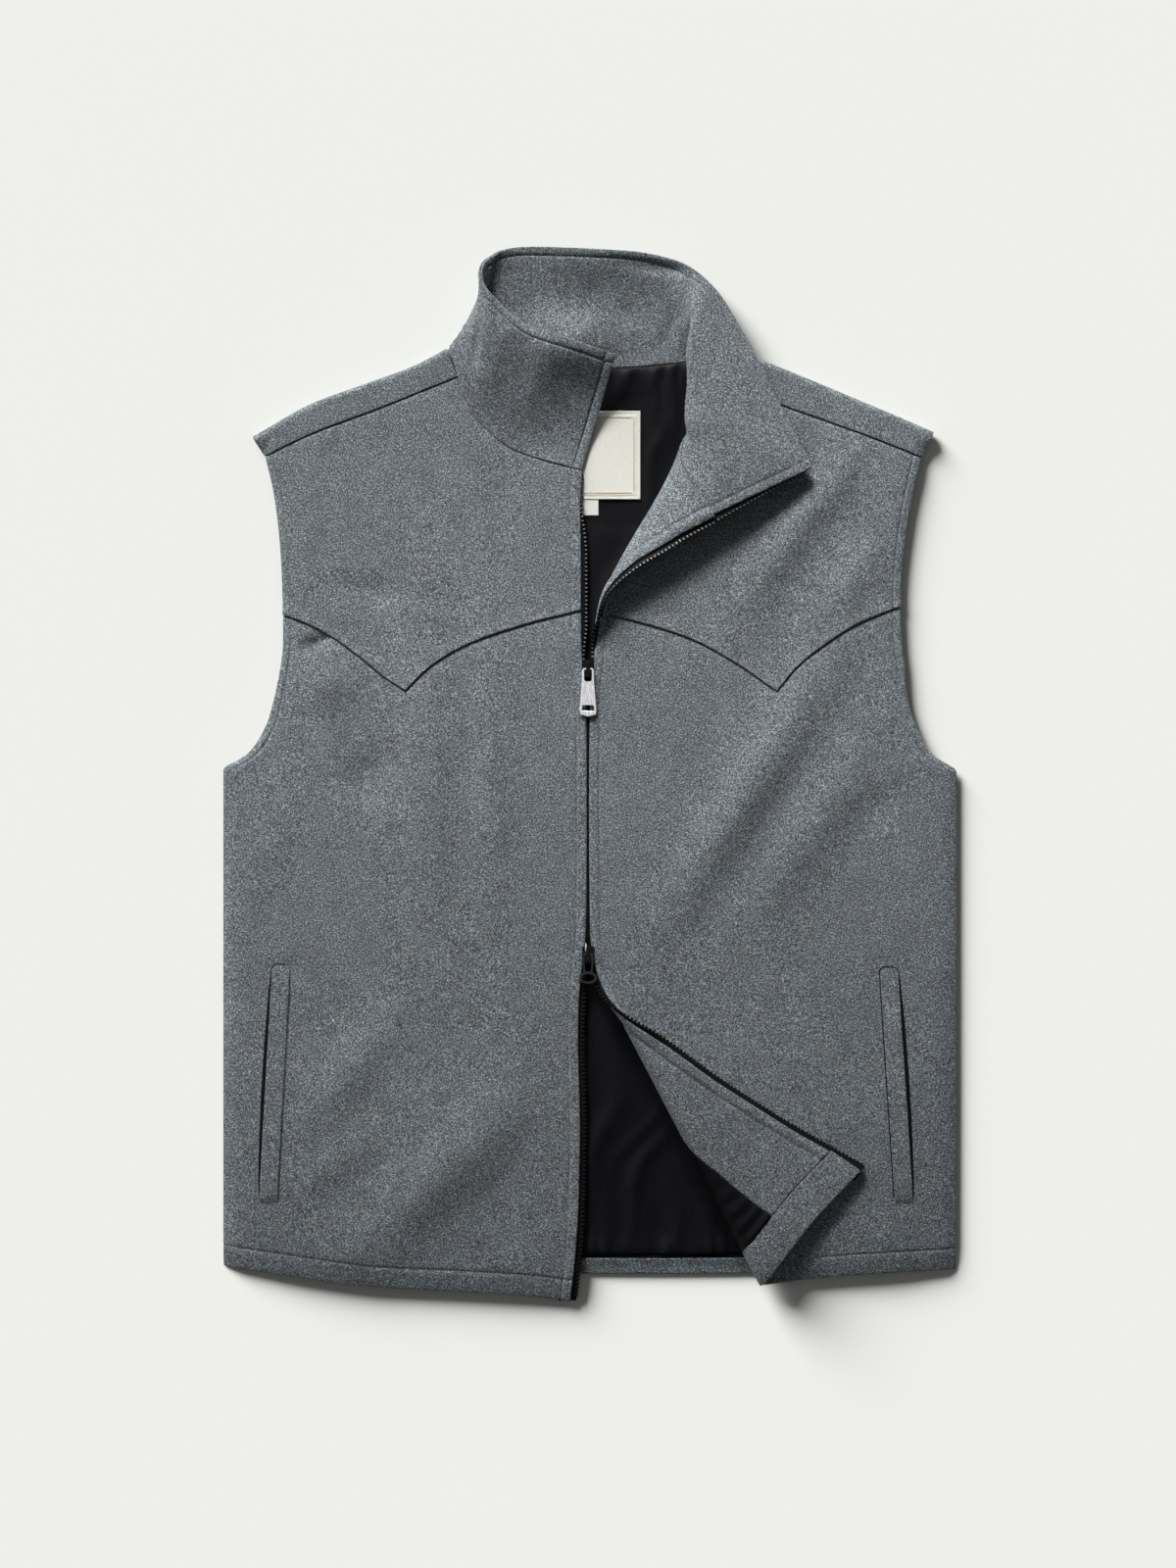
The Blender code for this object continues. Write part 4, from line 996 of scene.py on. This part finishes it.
def front_pieces(side, front, surface):
    """Body and yoke of one front, and the tape and teeth of its side of the zip."""
    hem, zip_edge, zip_top = through(front["hem"]), through(front["zip"]), through(front["zip_top"])
    yoke = joined(through(front["yoke_in"]), through(front["yoke_out"]), YOKE_POINT)
    outer = joined(through(front["side"]), through(front["armhole"]), UNDERARM)
    top = joined(through(front["neck"]), through(front["shoulder"]), NECK_END)
    across = (steps(ZIP_STITCH), steps(ARM_STITCH))
    lower = cloth(f"wool_{side}_body", f"front_{side}_body", patch(hem, yoke, zip_edge, outer), surface,
                  (across, (steps(HEM_STITCH), steps())), 0, WOOL, wool, front_rise,
                  (None, YOKE_POINT), spacing=2.9)
    upper = patch(yoke, top, zip_top, through(front["armhole_top"]))
    higher = cloth(f"wool_{side}_yoke", f"front_{side}_yoke", upper, surface, (across, PLAIN), 0, WOOL, wool,
                   yoke_rise, (YOKE_POINT, NECK_END), soft={"low": 0.9})
    whole = joined(zip_edge, zip_top, ZIP_YOKE)
    sign = -1 if side == "left" else 1

    def width(y):
        open_by = np.maximum(ease((y - OPEN_ABOVE) / OPENS_OVER), ease((OPEN_BELOW - y) / OPENS_OVER))
        hidden = TAPE_OPEN * ease((y - HIDDEN_FROM) / HIDDEN_OVER) if side == "left" else 0
        return TAPE_GAP + TAPE_CLOSED + (TAPE_OPEN - TAPE_CLOSED) * open_by - hidden

    def tape(u, v):
        u, v = both(u, v)
        x, y = np.moveaxis(whole(v), -1, 0)
        beside = -TAPE_SEWN + u * (TAPE_SEWN + width(y) - TAPE_SHORT)
        return np.stack([x - sign * beside, y], -1)

    flat_tape = cloth(f"tape_{side}", f"zip_tape_{side}", tape, surface, (NARROW, NARROW),
                      -(WOOL + INNER_GAP) / 2, TAPE_THICK, tape_black, spacing=2.0, round_by=0.4)
    x, y = np.moveaxis(whole(np.linspace(0.002, 0.998, 4001)), -1, 0)
    points, normals = placed(surface, x - sign * (width(y) - TOOTH_INSIDE), y)
    teeth(f"teeth_{side}", points, normals, TOOTH_PITCH * (0.5 if sign > 0 else 1.0))
    return lower, higher, flat_tape


def teeth(name, points, normals, first):
    """Moulded teeth along a zip tape's free edge; above the upper slider their ends are a painted glint."""
    run = lengths(points)
    at = np.arange(first, run[-1] - 1, TOOTH_PITCH)
    up = unit(sample(run, normals, at))
    way = unit(sample(run, points, at + 0.5) - sample(run, points, at - 0.5))
    side_way = np.cross(up, way)
    middle = sample(run, points, at) - up * TOOTH_SUNK
    corners = ((-1, -1), (1, -1), (1, 1), (-1, 1))
    rings = []
    for lift, size in TOOTH_LEVELS:
        wide, long = side_way * TOOTH_WIDE / 2 * size, way * TOOTH_LONG / 2 * size
        rings.append(np.stack([middle + up * lift + a * wide + b * long for a, b in corners], 1))
    faces = bar_faces(len(at), len(TOOTH_LEVELS), len(corners))
    row = new_piece(name, np.stack(rings, 1).reshape(-1, 3), faces, tooth_black)
    row.data.materials.append(tooth_painted_glint)
    tooth_faces = len(faces) // len(at)
    # Painted glint: the top and bottom faces of these teeth take the light grey finish
    for k in np.flatnonzero(middle[:, 1] > SLIDER_UPPER):
        for end in (1, 2):
            row.data.polygons[tooth_faces * int(k + 1) - end].material_index = 1


def along_rows(rows, at, give):
    """One coordinate of an edge at a value of the other: give 0 for x at this y, 1 for y at this x."""
    return np.interp(at, [row[1 - give] for row in rows], [row[give] for row in rows])


def right_inside():
    """Hem turning, facing and lining under the right front, which show on the turned parts."""
    band = along_hem(through(RIGHT["hem"]), BAND_ENDS, (BAND_FROM, BAND_WIDE))
    out = -(WOOL / 2 + INNER_GAP + TURNING / 2)
    zip_rows = RIGHT["zip"] + RIGHT["zip_top"][1:]
    wide_at = through([row[1:] for row in FACING_WIDE], [row[0] for row in FACING_WIDE])
    first, last = FACING_WIDE[0][0], FACING_WIDE[-1][0]

    def facing_x(y, u):
        wide = 1 + wide_at((y - first) / (last - first))[..., 0]
        return along_rows(zip_rows, y, 0) - FACING_PAST + u * wide

    def above_band(x):
        return along_rows(RIGHT["hem"], x, 1) + BAND_WIDE + BAND_GAP

    def facing(u, v):
        u, v = both(u, v)
        low = above_band(facing_x(FACING_ENDS[0] + 0 * u, u))
        high = along_rows(RIGHT["neck"], facing_x(FACING_ENDS[1] + 0 * u, u), 1) - BAND_GAP
        y = low + (high - low) * v
        return np.stack([facing_x(y, u), y], -1)

    def facing_rise(x, y, u, v, edges):
        ridge = 0.6 * groove(edges["near"], FACING_STITCH, 1.3)
        return ridge - 0.9 * groove(edges["near"], FACING_EDGE, 3.0)

    def lining(u, v):
        """Between the facing and the outer edge, with its y settled in a few rounds."""
        u, v = both(u, v)
        y = between(LINING_FIRST, v)
        for _ in range(3):
            near = facing_x(y, 1) + LINING_GAP
            far = outer_edge(RIGHT, np.minimum(y, LINING_TOP)) - FRONT_INSET
            x = near + (far - near) * u
            low = above_band(x)
            high = np.minimum(along_rows(RIGHT["shoulder"], x, 1), along_rows(RIGHT["neck"], x, 1))
            y = low + (high - NECK_INSET - low) * v
        return np.stack([x, y], -1)

    def gathers(x, y, u, v, edges):
        """Small gathers across the turned corner, where the lining is sewn to the hem turning."""
        along, beyond = fold_place(x, y)
        near = np.exp(-(edges["low"] / 40) ** 2) * ease((90 - x) / 40 + 1)
        waves = np.sin(along / 1.9 + beyond / 6 + 1.6 * np.sin(beyond / 15 + along / 21))
        return -near * (1 + waves)

    band_piece = cloth("wool_hem_band_right", "hem_band_right", band, right_front, (PLAIN, PLAIN), out,
                       TURNING, wool)
    facing_piece = cloth("wool_facing_right", "facing_right", facing, right_front,
                         ((steps(FACING_STITCH), steps()), PLAIN), out, TURNING, wool, facing_rise)
    lining_piece = cloth("satin_lining_right", "lining_right", lining, right_front, (PLAIN, PLAIN),
                         -(WOOL / 2 + INNER_GAP + SATIN / 2), SATIN, satin, gathers, spacing=2.8)
    return band_piece, facing_piece, lining_piece


def laid(z):
    """A level surface at this height."""
    return lambda x, y: np.stack([x, y, z + 0 * x], -1)


def shoulder_lines():
    """Where each shoulder strip leaves the back, its seam on the front, and the way it goes over."""
    lines = []
    for front in (LEFT, RIGHT):
        ridge, seam = through(front["ridge"]), through(front["shoulder"])
        along = ridge(1) - ridge(0)
        out = np.array((-along[1], along[0])) / np.linalg.norm(along)
        out = out if out[1] > 0 else -out
        tuck = STRIP_RADIUS + WOOL / 2
        lines.append((lambda t, r=ridge, o=out: r(t) - tuck * o, seam, out))
    return lines


def back_top(lines):
    """The back's top edge: left shoulder, neck, right shoulder."""
    start = [line[0] for line in lines]
    neck = through([start[0](0)] + BACK_NECK + [start[1](0)])
    neck_end = 1 - SHOULDER_SHARE

    def place(u):
        u = np.asarray(u, float)
        left = start[0](np.clip(1 - u / SHOULDER_SHARE, 0, 1))
        middle = neck(np.clip((u - SHOULDER_SHARE) / (neck_end - SHOULDER_SHARE), 0, 1))
        right = start[1](np.clip((u - neck_end) / SHOULDER_SHARE, 0, 1))
        inner = np.where((u < neck_end)[..., None], middle, right)
        return np.where((u < SHOULDER_SHARE)[..., None], left, inner)

    return place


def back_arm(front, line):
    """Side and armhole edge of the back, just inside those of a front."""
    sign = -1 if front is LEFT else 1
    side = [BACK_HEM[0] if front is LEFT else BACK_HEM[-1], (sign * BACK_SIDE, BACK_UNDERARM)]
    armhole = front["armhole"][1:] + front["armhole_top"][1:]
    armhole = [side[1]] + [(x - sign * BACK_ARM_IN, y) for x, y in armhole] + [tuple(line(1))]
    return joined(through(side), through(armhole), BACK_UNDERARM_SHARE)


def over_shoulder(start, seam, out, surface, count):
    """Rows of points of a shoulder strip: round its roll, then along the front to its seam."""
    share = np.linspace(0, 1, count + 1)
    first, last = start(share), seam(share) + out * SEAM
    rows = []
    for angle in math.pi * np.arange(1, ROLL_STEPS + 1) / ROLL_STEPS:
        level = BACK_Z + STRIP_RADIUS * (1 - math.cos(angle))
        over = first + out * STRIP_RADIUS * math.sin(angle)
        rows.append(np.concatenate([over, np.full((count + 1, 1), level)], 1))
    for part in np.arange(1, LAID_STEPS + 1) / LAID_STEPS:
        over = first + (last - first) * part
        on_front = surface(over[:, 0], over[:, 1])
        on_front[:, 2] = FRONT_Z + (on_front[:, 2] - FRONT_Z) * ease(part)
        rows.append(on_front)
    return np.stack(rows, 1)


def back_wool(flat, lines):
    """The back and its two shoulder strips, one surface that is then made as thick as wool."""
    at = [np.linspace(0, 1, count + 1) for count in (BACK_COLUMNS, BACK_ROWS)]
    place = flat(*np.meshgrid(*at, indexing="ij"))
    grid = np.concatenate([place, np.full(place.shape[:2] + (1,), BACK_Z)], -1)
    index = np.arange(place.shape[0] * place.shape[1]).reshape(place.shape[:2])
    points, faces = grid.reshape(-1, 3), [grid_faces(index)]
    count = round(SHOULDER_SHARE * BACK_COLUMNS)
    for is_left, line, surface in ((True, lines[0], left_front), (False, lines[1], right_front)):
        rows = over_shoulder(*line, surface, count)
        ids = len(points) + np.arange(rows.shape[0] * rows.shape[1]).reshape(rows.shape[:2])
        points = np.concatenate([points, rows.reshape(-1, 3)])
        edge = index[count::-1, -1] if is_left else index[BACK_COLUMNS - count:, -1]
        faces.append(grid_faces(np.concatenate([edge[:, None], ids], 1), is_left))
    back = new_piece("wool_back", points, np.concatenate(faces).tolist(), wool)
    mesh = bmesh.new()
    mesh.from_mesh(back.data)
    bmesh.ops.recalc_face_normals(mesh, faces=mesh.faces[:])
    area = sum(face.calc_area() for face in mesh.faces)
    mesh.to_mesh(back.data)
    mesh.free()
    thick = back.modifiers.new("cloth", "SOLIDIFY")
    thick.thickness = WOOL * MM
    thick.offset = 0
    soft = back.modifiers.new("soft edges", "BEVEL")
    soft.width = 0.6 * MM
    soft.segments = 2
    soft.limit_method = "ANGLE"
    soft.angle_limit = math.radians(60)
    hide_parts("back_panel")


def wrinkles(x, y, u, v, edges):
    """Drape, gathers at the hem, tucks at the neck and folds of the back lining, flat under the label."""
    drape = np.sin(x / 11 + 1.3 * np.sin(y / 90) + 0.5 * np.sin(y / 31)) * np.sin(x / 37 + y / 160 + 1)
    ripple = np.sin(x / 4.6 + 1.7 * np.sin(y / 19)) * np.sin(y / 12 + x / 23)
    pinch = np.maximum(0, np.sin(x / 2.4 + 2.6 * np.sin(x / 13) + 1.3 * np.sin(x / 5.1)))
    pinch = (pinch * (0.55 + 0.45 * np.sin(x / 7.3 + 1))) ** (1 + edges["low"] / 9)
    opened = 0.5 + 0.5 * ease((x + 25) / 20) * ease((140 - x) / 30)
    gathers = opened * groove(edges["low"], 3, 12) * pinch
    tucks = np.maximum(0, np.sin(x / 2.3 + 1.9 * np.sin(x / 11) + 0.8 * np.sin(y / 9)))
    tucks = groove(edges["high"], 5, 12) * tucks
    rise = SATIN_REST + SATIN_DRAPE * drape + SATIN_RIPPLE * ripple + SATIN_GATHERS * gathers
    rise = rise + SATIN_TUCKS * tucks + SATIN_PUFF * groove(edges["low"], 5, 6)
    rise = rise + SATIN_FOLDS * soft_folds(LINING_FOLDS, x + 7 * np.sin(y / 17 + x / 60), y)
    aside = np.maximum(np.abs(x - LABEL_AT[0]) - LABEL_SIZE[0] / 2, np.abs(y - LABEL_AT[1] + 6) - 46)
    free = ease((aside - 1) / 8)
    rise = np.maximum(rise, SATIN_LOWEST) * free + SATIN_UNDER_LABEL * (1 - free)
    return rise * ease(edges["high"] / 4)


def back_pieces():
    """Wool of the back, its hem turning, its lining, and a matte black strip below the lining. The strip is
    the lining's own turning and painted shade above the hem turning.
    """
    lines = shoulder_lines()
    top, hem = back_top(lines), through(BACK_HEM)
    back_wool(patch(hem, top, back_arm(LEFT, lines[0][0]), back_arm(RIGHT, lines[1][0])), lines)
    tops, hems = top(np.linspace(0, 1, 121)), hem(np.linspace(0, 1, 61))

    def tilt(x, y, u, v, edges):
        return BAND_TILT * v * v

    def lining(u, v):
        """Inside the fronts' outer edges and above the hem turning, settled in a few rounds."""
        u, v = both(u, v)
        x = -BACK_SIDE + 2 * BACK_SIDE * u
        for _ in range(4):
            low = np.interp(x, *hems.T) + BACK_BAND + LINING_TURN
            high = np.interp(x, *tops.T) - 1 - 8 * ease((np.abs(x) - 70) / 30)
            y = low + (high - low) * v
            near = LINING_INSET - outer_edge(LEFT, y)
            far = outer_edge(RIGHT, y) - LINING_INSET
            x = near + (far - near) * u
        return np.stack([x, y], -1)

    band = along_hem(hem, BACK_BAND_ENDS, (BACK_BAND_FROM, BACK_BAND))
    turning = along_hem(hem, TURN_ENDS, (TURN_FROM, TURN_FROM + TURN_WIDE))
    band_piece = cloth("wool_back_hem_band", "back_hem_band", band, laid(LINING_Z), (PLAIN, PLAIN), 0.1,
                       SATIN + 0.4, wool, tilt)
    lining_piece = cloth("satin_back_lining", "back_lining", lining, laid(LINING_Z), (PLAIN, PLAIN), 0,
                         SATIN * 0.8, satin, wrinkles, spacing=3.4)
    # Matte black strip under the lining's lower edge: its turning, and painted shade above the hem turning
    under = cloth("lining_turning_and_shade", None, turning, laid(WOOL + SEAM), (PLAIN, NARROW), 0, TURN_THICK,
                  tape_black, round_by=0.3)
    return band_piece, lining_piece, under


def label_pieces():
    """Bare label with a woven border, sewn on all round, and the size tab below it."""
    over = laid(LINING_Z + SATIN / 2 + SEAM + TAPE / 2)
    x, foot = LABEL_AT[0], LABEL_AT[1] - LABEL_SIZE[1] / 2
    sewn = (steps(LABEL_STITCH), steps(LABEL_STITCH))
    sides = ("near", "far", "low", "high")

    def ripple(x, y, u, v, edges):
        rim = np.minimum.reduce(list(edges.values()))
        return 0.6 + 0.25 * np.sin(x / 11 + y / 17) - 0.3 * groove(rim, LABEL_STITCH, 0.7)

    label_flat = strip((x, foot), (x, foot + LABEL_SIZE[1]), LABEL_SIZE[0])
    label = cloth("cream_label", "label", label_flat, over, (sewn, sewn), 0, TAPE, cream,
                  ripple, spacing=1.5, round_by=0.5)
    tab_flat = strip((x, foot - SEAM - SIZE_TAB[1]), (x, foot + SIZE_TAB_UNDER), SIZE_TAB[0])
    tab = cloth("cream_size_tab", "size_tab", tab_flat, over, (PLAIN, PLAIN), 0.1, TAPE * 0.8, cream,
                spacing=1.5, round_by=0.5)
    border = []
    for line, ups in [line_on(label, edge, LABEL_BORDER) for edge in sides]:
        room = np.array(LABEL_SIZE) / 2 - LABEL_BORDER + 0.4
        inside = np.all(np.abs(line[:, :2] - LABEL_AT) < room, axis=1)
        border.append((line[inside], ups[inside]))
    sewing("label_border", border, orange, pitch=1.1, long=1.08, thick=0.6)
    hems = [line_on(label, edge, LABEL_STITCH) for edge in sides]
    sewing("label_stitches", hems, cream_thread, pitch=2.4, long=1.7, thick=0.45)
    return label, tab


def collar_surface():
    """The surface between the outer and the inner collar, by shares round it and up it."""
    sections = []
    for sewn_to, x, y, z, *rest in COLLAR:
        if sewn_to in ("left", "right"):
            surface = left_front if sewn_to == "left" else right_front
            point, normal = placed(surface, np.array(float(x)), np.array(float(y)))
            base = point - COLLAR_OUT * normal
        elif sewn_to == "strip":
            base = np.array((x, y, z))
        else:
            base = np.array((x, y, WOOL + SEAM / 2))
        sections.append(np.concatenate([base, rest]))
    section = through(sections, range(len(COLLAR)))

    def surface(u, v):
        row = section(np.clip(u, 0, 1))
        base, middle, rim = row[..., :3], row[..., 3:6], row[..., 6:9]
        bulge = np.concatenate([np.zeros(row.shape[:-1] + (2,)), row[..., 9:10]], -1)
        pull = 2 * middle - (base + rim) / 2
        low = (base + 2 * pull) / 3 - bulge
        high = (rim + 2 * pull) / 3 + bulge
        v = (COLLAR_START + (1 - COLLAR_START) * np.asarray(v, float))[..., None]
        w = 1 - v
        return base * w ** 3 + 3 * low * v * w * w + 3 * high * v * v * w + rim * v ** 3

    return surface


def collar_pieces():
    """Outer and inner collar, either side of one surface, and the zip's top along the right end."""
    surface = collar_surface()

    def whole(u, v):
        return np.stack(both(u, v), -1)

    def rise(face):
        def made(u, v, a, b, edges):
            x, y, z = np.moveaxis(surface(u, v), -1, 0)
            is_left = u < COLLAR_CHANGE
            folds = soft_folds(COLLAR_CREASES, x, y) * ease(edges["high"] / CREASE_RIM)
            folds = (folds + soft_folds(COLLAR_STANDS, x, y)) * ease(edges["low"] / CREASE_BASE)
            lowest = np.minimum(SEAM / 2 + TURNING + FLOOR_GAP - z, 0)
            folds = np.where(is_left, -folds, np.maximum(folds, lowest))
            stitch = groove(edges["high"], RIM_STITCH) + groove(edges["near"], RIM_STITCH)
            stitch = stitch + 0.5 * groove(edges["far"], RIM_STITCH)
            return folds - RIM_STITCH_DEEP * face * stitch

        return made

    rim = steps(RIM_STITCH)
    outer, inner = [
        cloth(f"wool_collar_{name}", f"collar_{name}", whole, surface, ((rim, rim), (steps(), rim)),
              face * COLLAR_OUT, TURNING, wool, rise(face), step=0.002, soft={"low": 0.7})
        for name, face in (("outer", -1), ("inner", 1))]

    def beyond(a, b):
        end = surface(1 + 0 * b, b / COLLAR_TALL)
        return end + unit(end - surface(0.98 + 0 * b, b / COLLAR_TALL)) * a[..., None]

    def shows(b):
        return TAPE_OPEN + COLLAR_TAPE_FOOT - COLLAR_TAPE_LESS * np.clip(b / COLLAR_TALL, 0, 1)

    def tape(u, v):
        u, v = both(u, v)
        b = between(COLLAR_TAPE_ENDS, v) * COLLAR_TALL
        return np.stack([-TAPE_SEWN + u * (TAPE_SEWN + shows(b) - TAPE_SHORT), b], -1)

    end_tape = cloth("tape_collar", None, tape, beyond, (NARROW, NARROW), 0, COLLAR_TAPE_THICK, tape_black,
                     spacing=2.0, round_by=0.3)
    b = np.linspace(0, COLLAR_TEETH_END * COLLAR_TALL, 600)
    teeth("teeth_collar", *placed(beyond, shows(b) - TOOTH_INSIDE, b), TOOTH_PITCH / 2)
    return outer, inner, end_tape


def welt_pieces(side, ends, surface):
    """A pocket welt sewn down at its foot, with stitches beside it and a dark satin strip round it. The
    strip is the pocket lining in its mouth and painted shade in the slit.
    """
    top, bottom = np.array(ends, float)
    sign = -1 if side == "left" else 1
    long = np.linalg.norm(top - bottom)

    def outline(outer, inner, above):
        """The flat shape, wider by these amounts and with rounded top corners."""

        def place(u, v):
            u, v = both(u, v)
            swell = np.sin(np.pi * np.clip(v, 0, 1)) ** 0.6
            right, left = (outer * swell, inner) if sign > 0 else (inner, outer * swell)
            into = np.maximum(0, WELT_ROUND - (1 - v) * long)
            narrower = WELT_ROUND - np.sqrt(np.maximum(0, WELT_ROUND ** 2 - into ** 2))
            near, far = narrower - WELT_WIDE / 2 - left, WELT_WIDE / 2 + right - narrower
            middle = bottom + (top + (0, above) - bottom) * v[..., None]
            return middle + np.stack([near + (far - near) * u, 0 * v], -1)

        return place

    def sewn_down(x, y, u, v, edges):
        return -dip(edges["low"], [(WELT_SEWN, 3.5)])

    piece = cloth(f"wool_welt_{side}", f"pocket_welt_{side}", outline(0, 0, 0), surface, (PLAIN, PLAIN),
                  WOOL / 2 + SEAM + WELT_THICK / 2, WELT_THICK, wool, sewn_down, round_by=1.6)
    # Dark satin strip round the welt: pocket lining and painted shade in the slit
    mouth = outline(MOUTH_SHOWS, MOUTH_INNER[side], MOUTH_ABOVE)
    dark = cloth(f"satin_mouth_lining_and_shade_{side}", None, lambda u, v: mouth(u, between(MOUTH_ENDS, v)), surface,
                 (NARROW, NARROW), WOOL / 2 + SEAM / 2, MOUTH_THICK, satin, round_by=0.3)
    beside = np.array((-sign * (WELT_WIDE / 2 + WELT_STITCH), 0))
    foot, below = np.array((WELT_WIDE / 2, 0)), np.array((0, TACK_BELOW))
    lines = []
    for first, last in ((bottom + beside, top + beside), (bottom - foot - below, bottom + foot - below)):
        at = first + (last - first) * np.linspace(0, 1, 60)[:, None]
        points, ups = placed(surface, at[:, 0], at[:, 1])
        lines.append((points + ups * WOOL / 2, ups))
    sewing(f"welt_stitches_{side}", lines[:1], thread, pitch=2.6, long=1.4, thick=0.4)
    sewing(f"welt_tack_{side}", lines[1:], rose_thread, pitch=1.3, long=1.1, thick=0.4)
    return piece, dark


for node, finish in (("zip_slider_upper", slider_black), ("zip_slider_lower", slider_black),
                     ("zip_pull_upper", silver), ("zip_pull_lower", dark_metal)):
    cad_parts[node].data.materials.clear()
    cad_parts[node].data.materials.append(finish)

back_band, back_lining, back_turning_and_shade = back_pieces()
label, size_tab = label_pieces()
left_body, left_yoke, left_tape = front_pieces("left", LEFT, left_front)
right_body, right_yoke, right_tape = front_pieces("right", RIGHT, right_front)
band_right, facing_right, lining_right = right_inside()
collar_outer, collar_inner, collar_tape = collar_pieces()
welt_left, mouth_left = welt_pieces("left", WELT_LEFT, left_front)
welt_right, mouth_right = welt_pieces("right", WELT_RIGHT, right_front)

# Stitching on the fronts and the collar, a dark cord that paints the shade in the seam round the neck, and a
# silver bar that paints the highlight on the lower slider's bridge. A span is shares of the line on which it
# is sewn
stitch_lines = []
for body, yoke in ((left_body, left_yoke), (right_body, right_yoke)):
    stitch_lines.append(line_on(body, "low", HEM_STITCH, "top", (0.03, 0.97)))
    stitch_lines.append(line_on(body, "near", ZIP_STITCH))
    stitch_lines.append(line_on(body, "far", ARM_STITCH, "top", (0.72, 1.0)))
    stitch_lines.append(line_on(yoke, "near", ZIP_STITCH))
    stitch_lines.append(line_on(yoke, "far", ARM_STITCH))
collar_lines = []
for piece, face in ((collar_outer, "low"), (collar_inner, "top")):
    collar_lines.append(line_on(piece, "high", RIM_STITCH, face, (0.01, 0.99)))
    collar_lines.append(line_on(piece, "near", RIM_STITCH, face, (0.02, 0.9)))
    stitch_lines.append(line_on(piece, "far", RIM_STITCH, face, (0.02, 0.9)))
neck_shade_lines = [
    line_on(collar_outer, "low", 0.5, "low", (0.0, 0.3)),
    line_on(collar_inner, "low", 0.5, "top", (0.78, 0.98)),
]
# A silver bar on the lower slider's bridge, which paints its highlight
bridge_highlight = np.linspace((ZIP_X - BRIDGE_BESIDE, BRIDGE_ENDS[0], BRIDGE_Z),
                     (ZIP_X - BRIDGE_BESIDE, BRIDGE_ENDS[1], BRIDGE_Z), 8)
bridge_highlight_line = (bridge_highlight, np.tile((0.0, 0.0, 1.0), (8, 1)))
sewing("front_stitches", stitch_lines, thread)
sewing("collar_stitches", collar_lines, dark_thread)
# A continuous dark cord along the neck seam: painted shade in the seam's ditch
sewing("neck_seam_painted_shade", neck_shade_lines, dark_thread, pitch=2.2, long=2.25, thick=0.7)
# Painted highlight: the bright silver bar on the lower slider's bridge
sewing("slider_bridge_highlight_lower", [bridge_highlight_line], silver, pitch=2.0, long=6.6, thick=1.2)

# How each piece of cloth is held and what it rests on
for piece, held, rests_on in (
        (left_body, "laid", "satin_back_lining"),
        (left_yoke, "laid", "satin_back_lining"),
        (right_body, "folded", "satin_lining_right"),
        (right_yoke, "folded", "satin_back_lining"),
        (left_tape, "laid", "wool_left_body"),
        (right_tape, "folded", "wool_right_body"),
        (band_right, "folded", "wool_right_body"),
        (facing_right, "folded", "wool_right_body"),
        (lining_right, "folded", "wool_right_body"),
        (back_band, "laid", "wool_back"),
        (back_lining, "laid", "wool_back"),
        (back_turning_and_shade, "laid", "wool_back"),
        (label, "laid", "satin_back_lining"),
        (size_tab, "laid", "satin_back_lining"),
        (collar_outer, "folded", "wool_back"),
        (collar_inner, "folded", "wool_collar_outer"),
        (collar_tape, "folded", "wool_collar_outer"),
        (welt_left, "laid", "wool_left_body"),
        (welt_right, "laid", "wool_right_body"),
        (mouth_left, "laid", "wool_left_body"),
        (mouth_right, "laid", "wool_right_body")):
    declare(piece, held)

# Floor, light and camera, in metres
vest_pieces = bpy.data.collections.new("vest_pieces")
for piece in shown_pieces():
    vest_pieces.objects.link(piece)
floor_mesh = bpy.data.meshes.new("floor")
floor_mesh.from_pydata([(-4, -4, 0), (4, -4, 0), (4, 4, 0), (-4, 4, 0)], [], [(0, 1, 2, 3)])
floor = added("floor", floor_mesh)
floor.location.z = -0.0002
floor_finish, _, _ = blank("pale_floor", {"Base Color": (0.80, 0.807, 0.77, 1), "Roughness": 0.9,
                                          "Specular IOR Level": 0.1})
floor_mesh.materials.append(floor_finish)
floor_only = bpy.data.collections.new("floor_only")
floor_only.objects.link(floor)

world = bpy.data.worlds.new("studio")
world.use_nodes = True
world.node_tree.nodes["Background"].inputs["Color"].default_value = (1, 1, 1, 1)
world.node_tree.nodes["Background"].inputs["Strength"].default_value = 0.11
bpy.context.scene.world = world


def light(name, kind, energy, place, at, lit):
    """A light that shines from a place at a point, on the things in one collection."""
    data = bpy.data.lights.new(name, kind)
    data.energy = energy
    lamp = added(name, data)
    lamp.location = place
    way = np.array(at) - np.array(place)
    tilt = math.atan2(math.hypot(way[0], way[1]), -way[2])
    lamp.rotation_euler = (tilt, 0, math.atan2(way[1], way[0]) - math.pi / 2)
    lamp.light_linking.receiver_collection = lit
    return data


light("floor_sun", "SUN", 7.7, (-1.0, 1.2, 0.665), (0, 0, 0), floor_only).angle = math.radians(31)
light("slanting_light", "SUN", 2.15, (-0.8, 1.0, 0.62), (0, 0, 0), vest_pieces).angle = math.radians(34)
softbox = light("softbox", "AREA", 2.15, (-0.25, 1.35, 0.64), (0.03, 0.10, 0), vest_pieces)
softbox.shape = "RECTANGLE"
softbox.size = 1.1
softbox.size_y = 0.35
softbox.spread = math.radians(24)

camera_data = bpy.data.cameras.new("camera")
camera_data.lens = 78.0
camera_data.sensor_width = 36.0
camera = added("camera", camera_data)
camera.location = (-0.0015, -0.0082, 2.6)
bpy.context.scene.camera = camera
bpy.context.scene.view_settings.view_transform = "Standard"
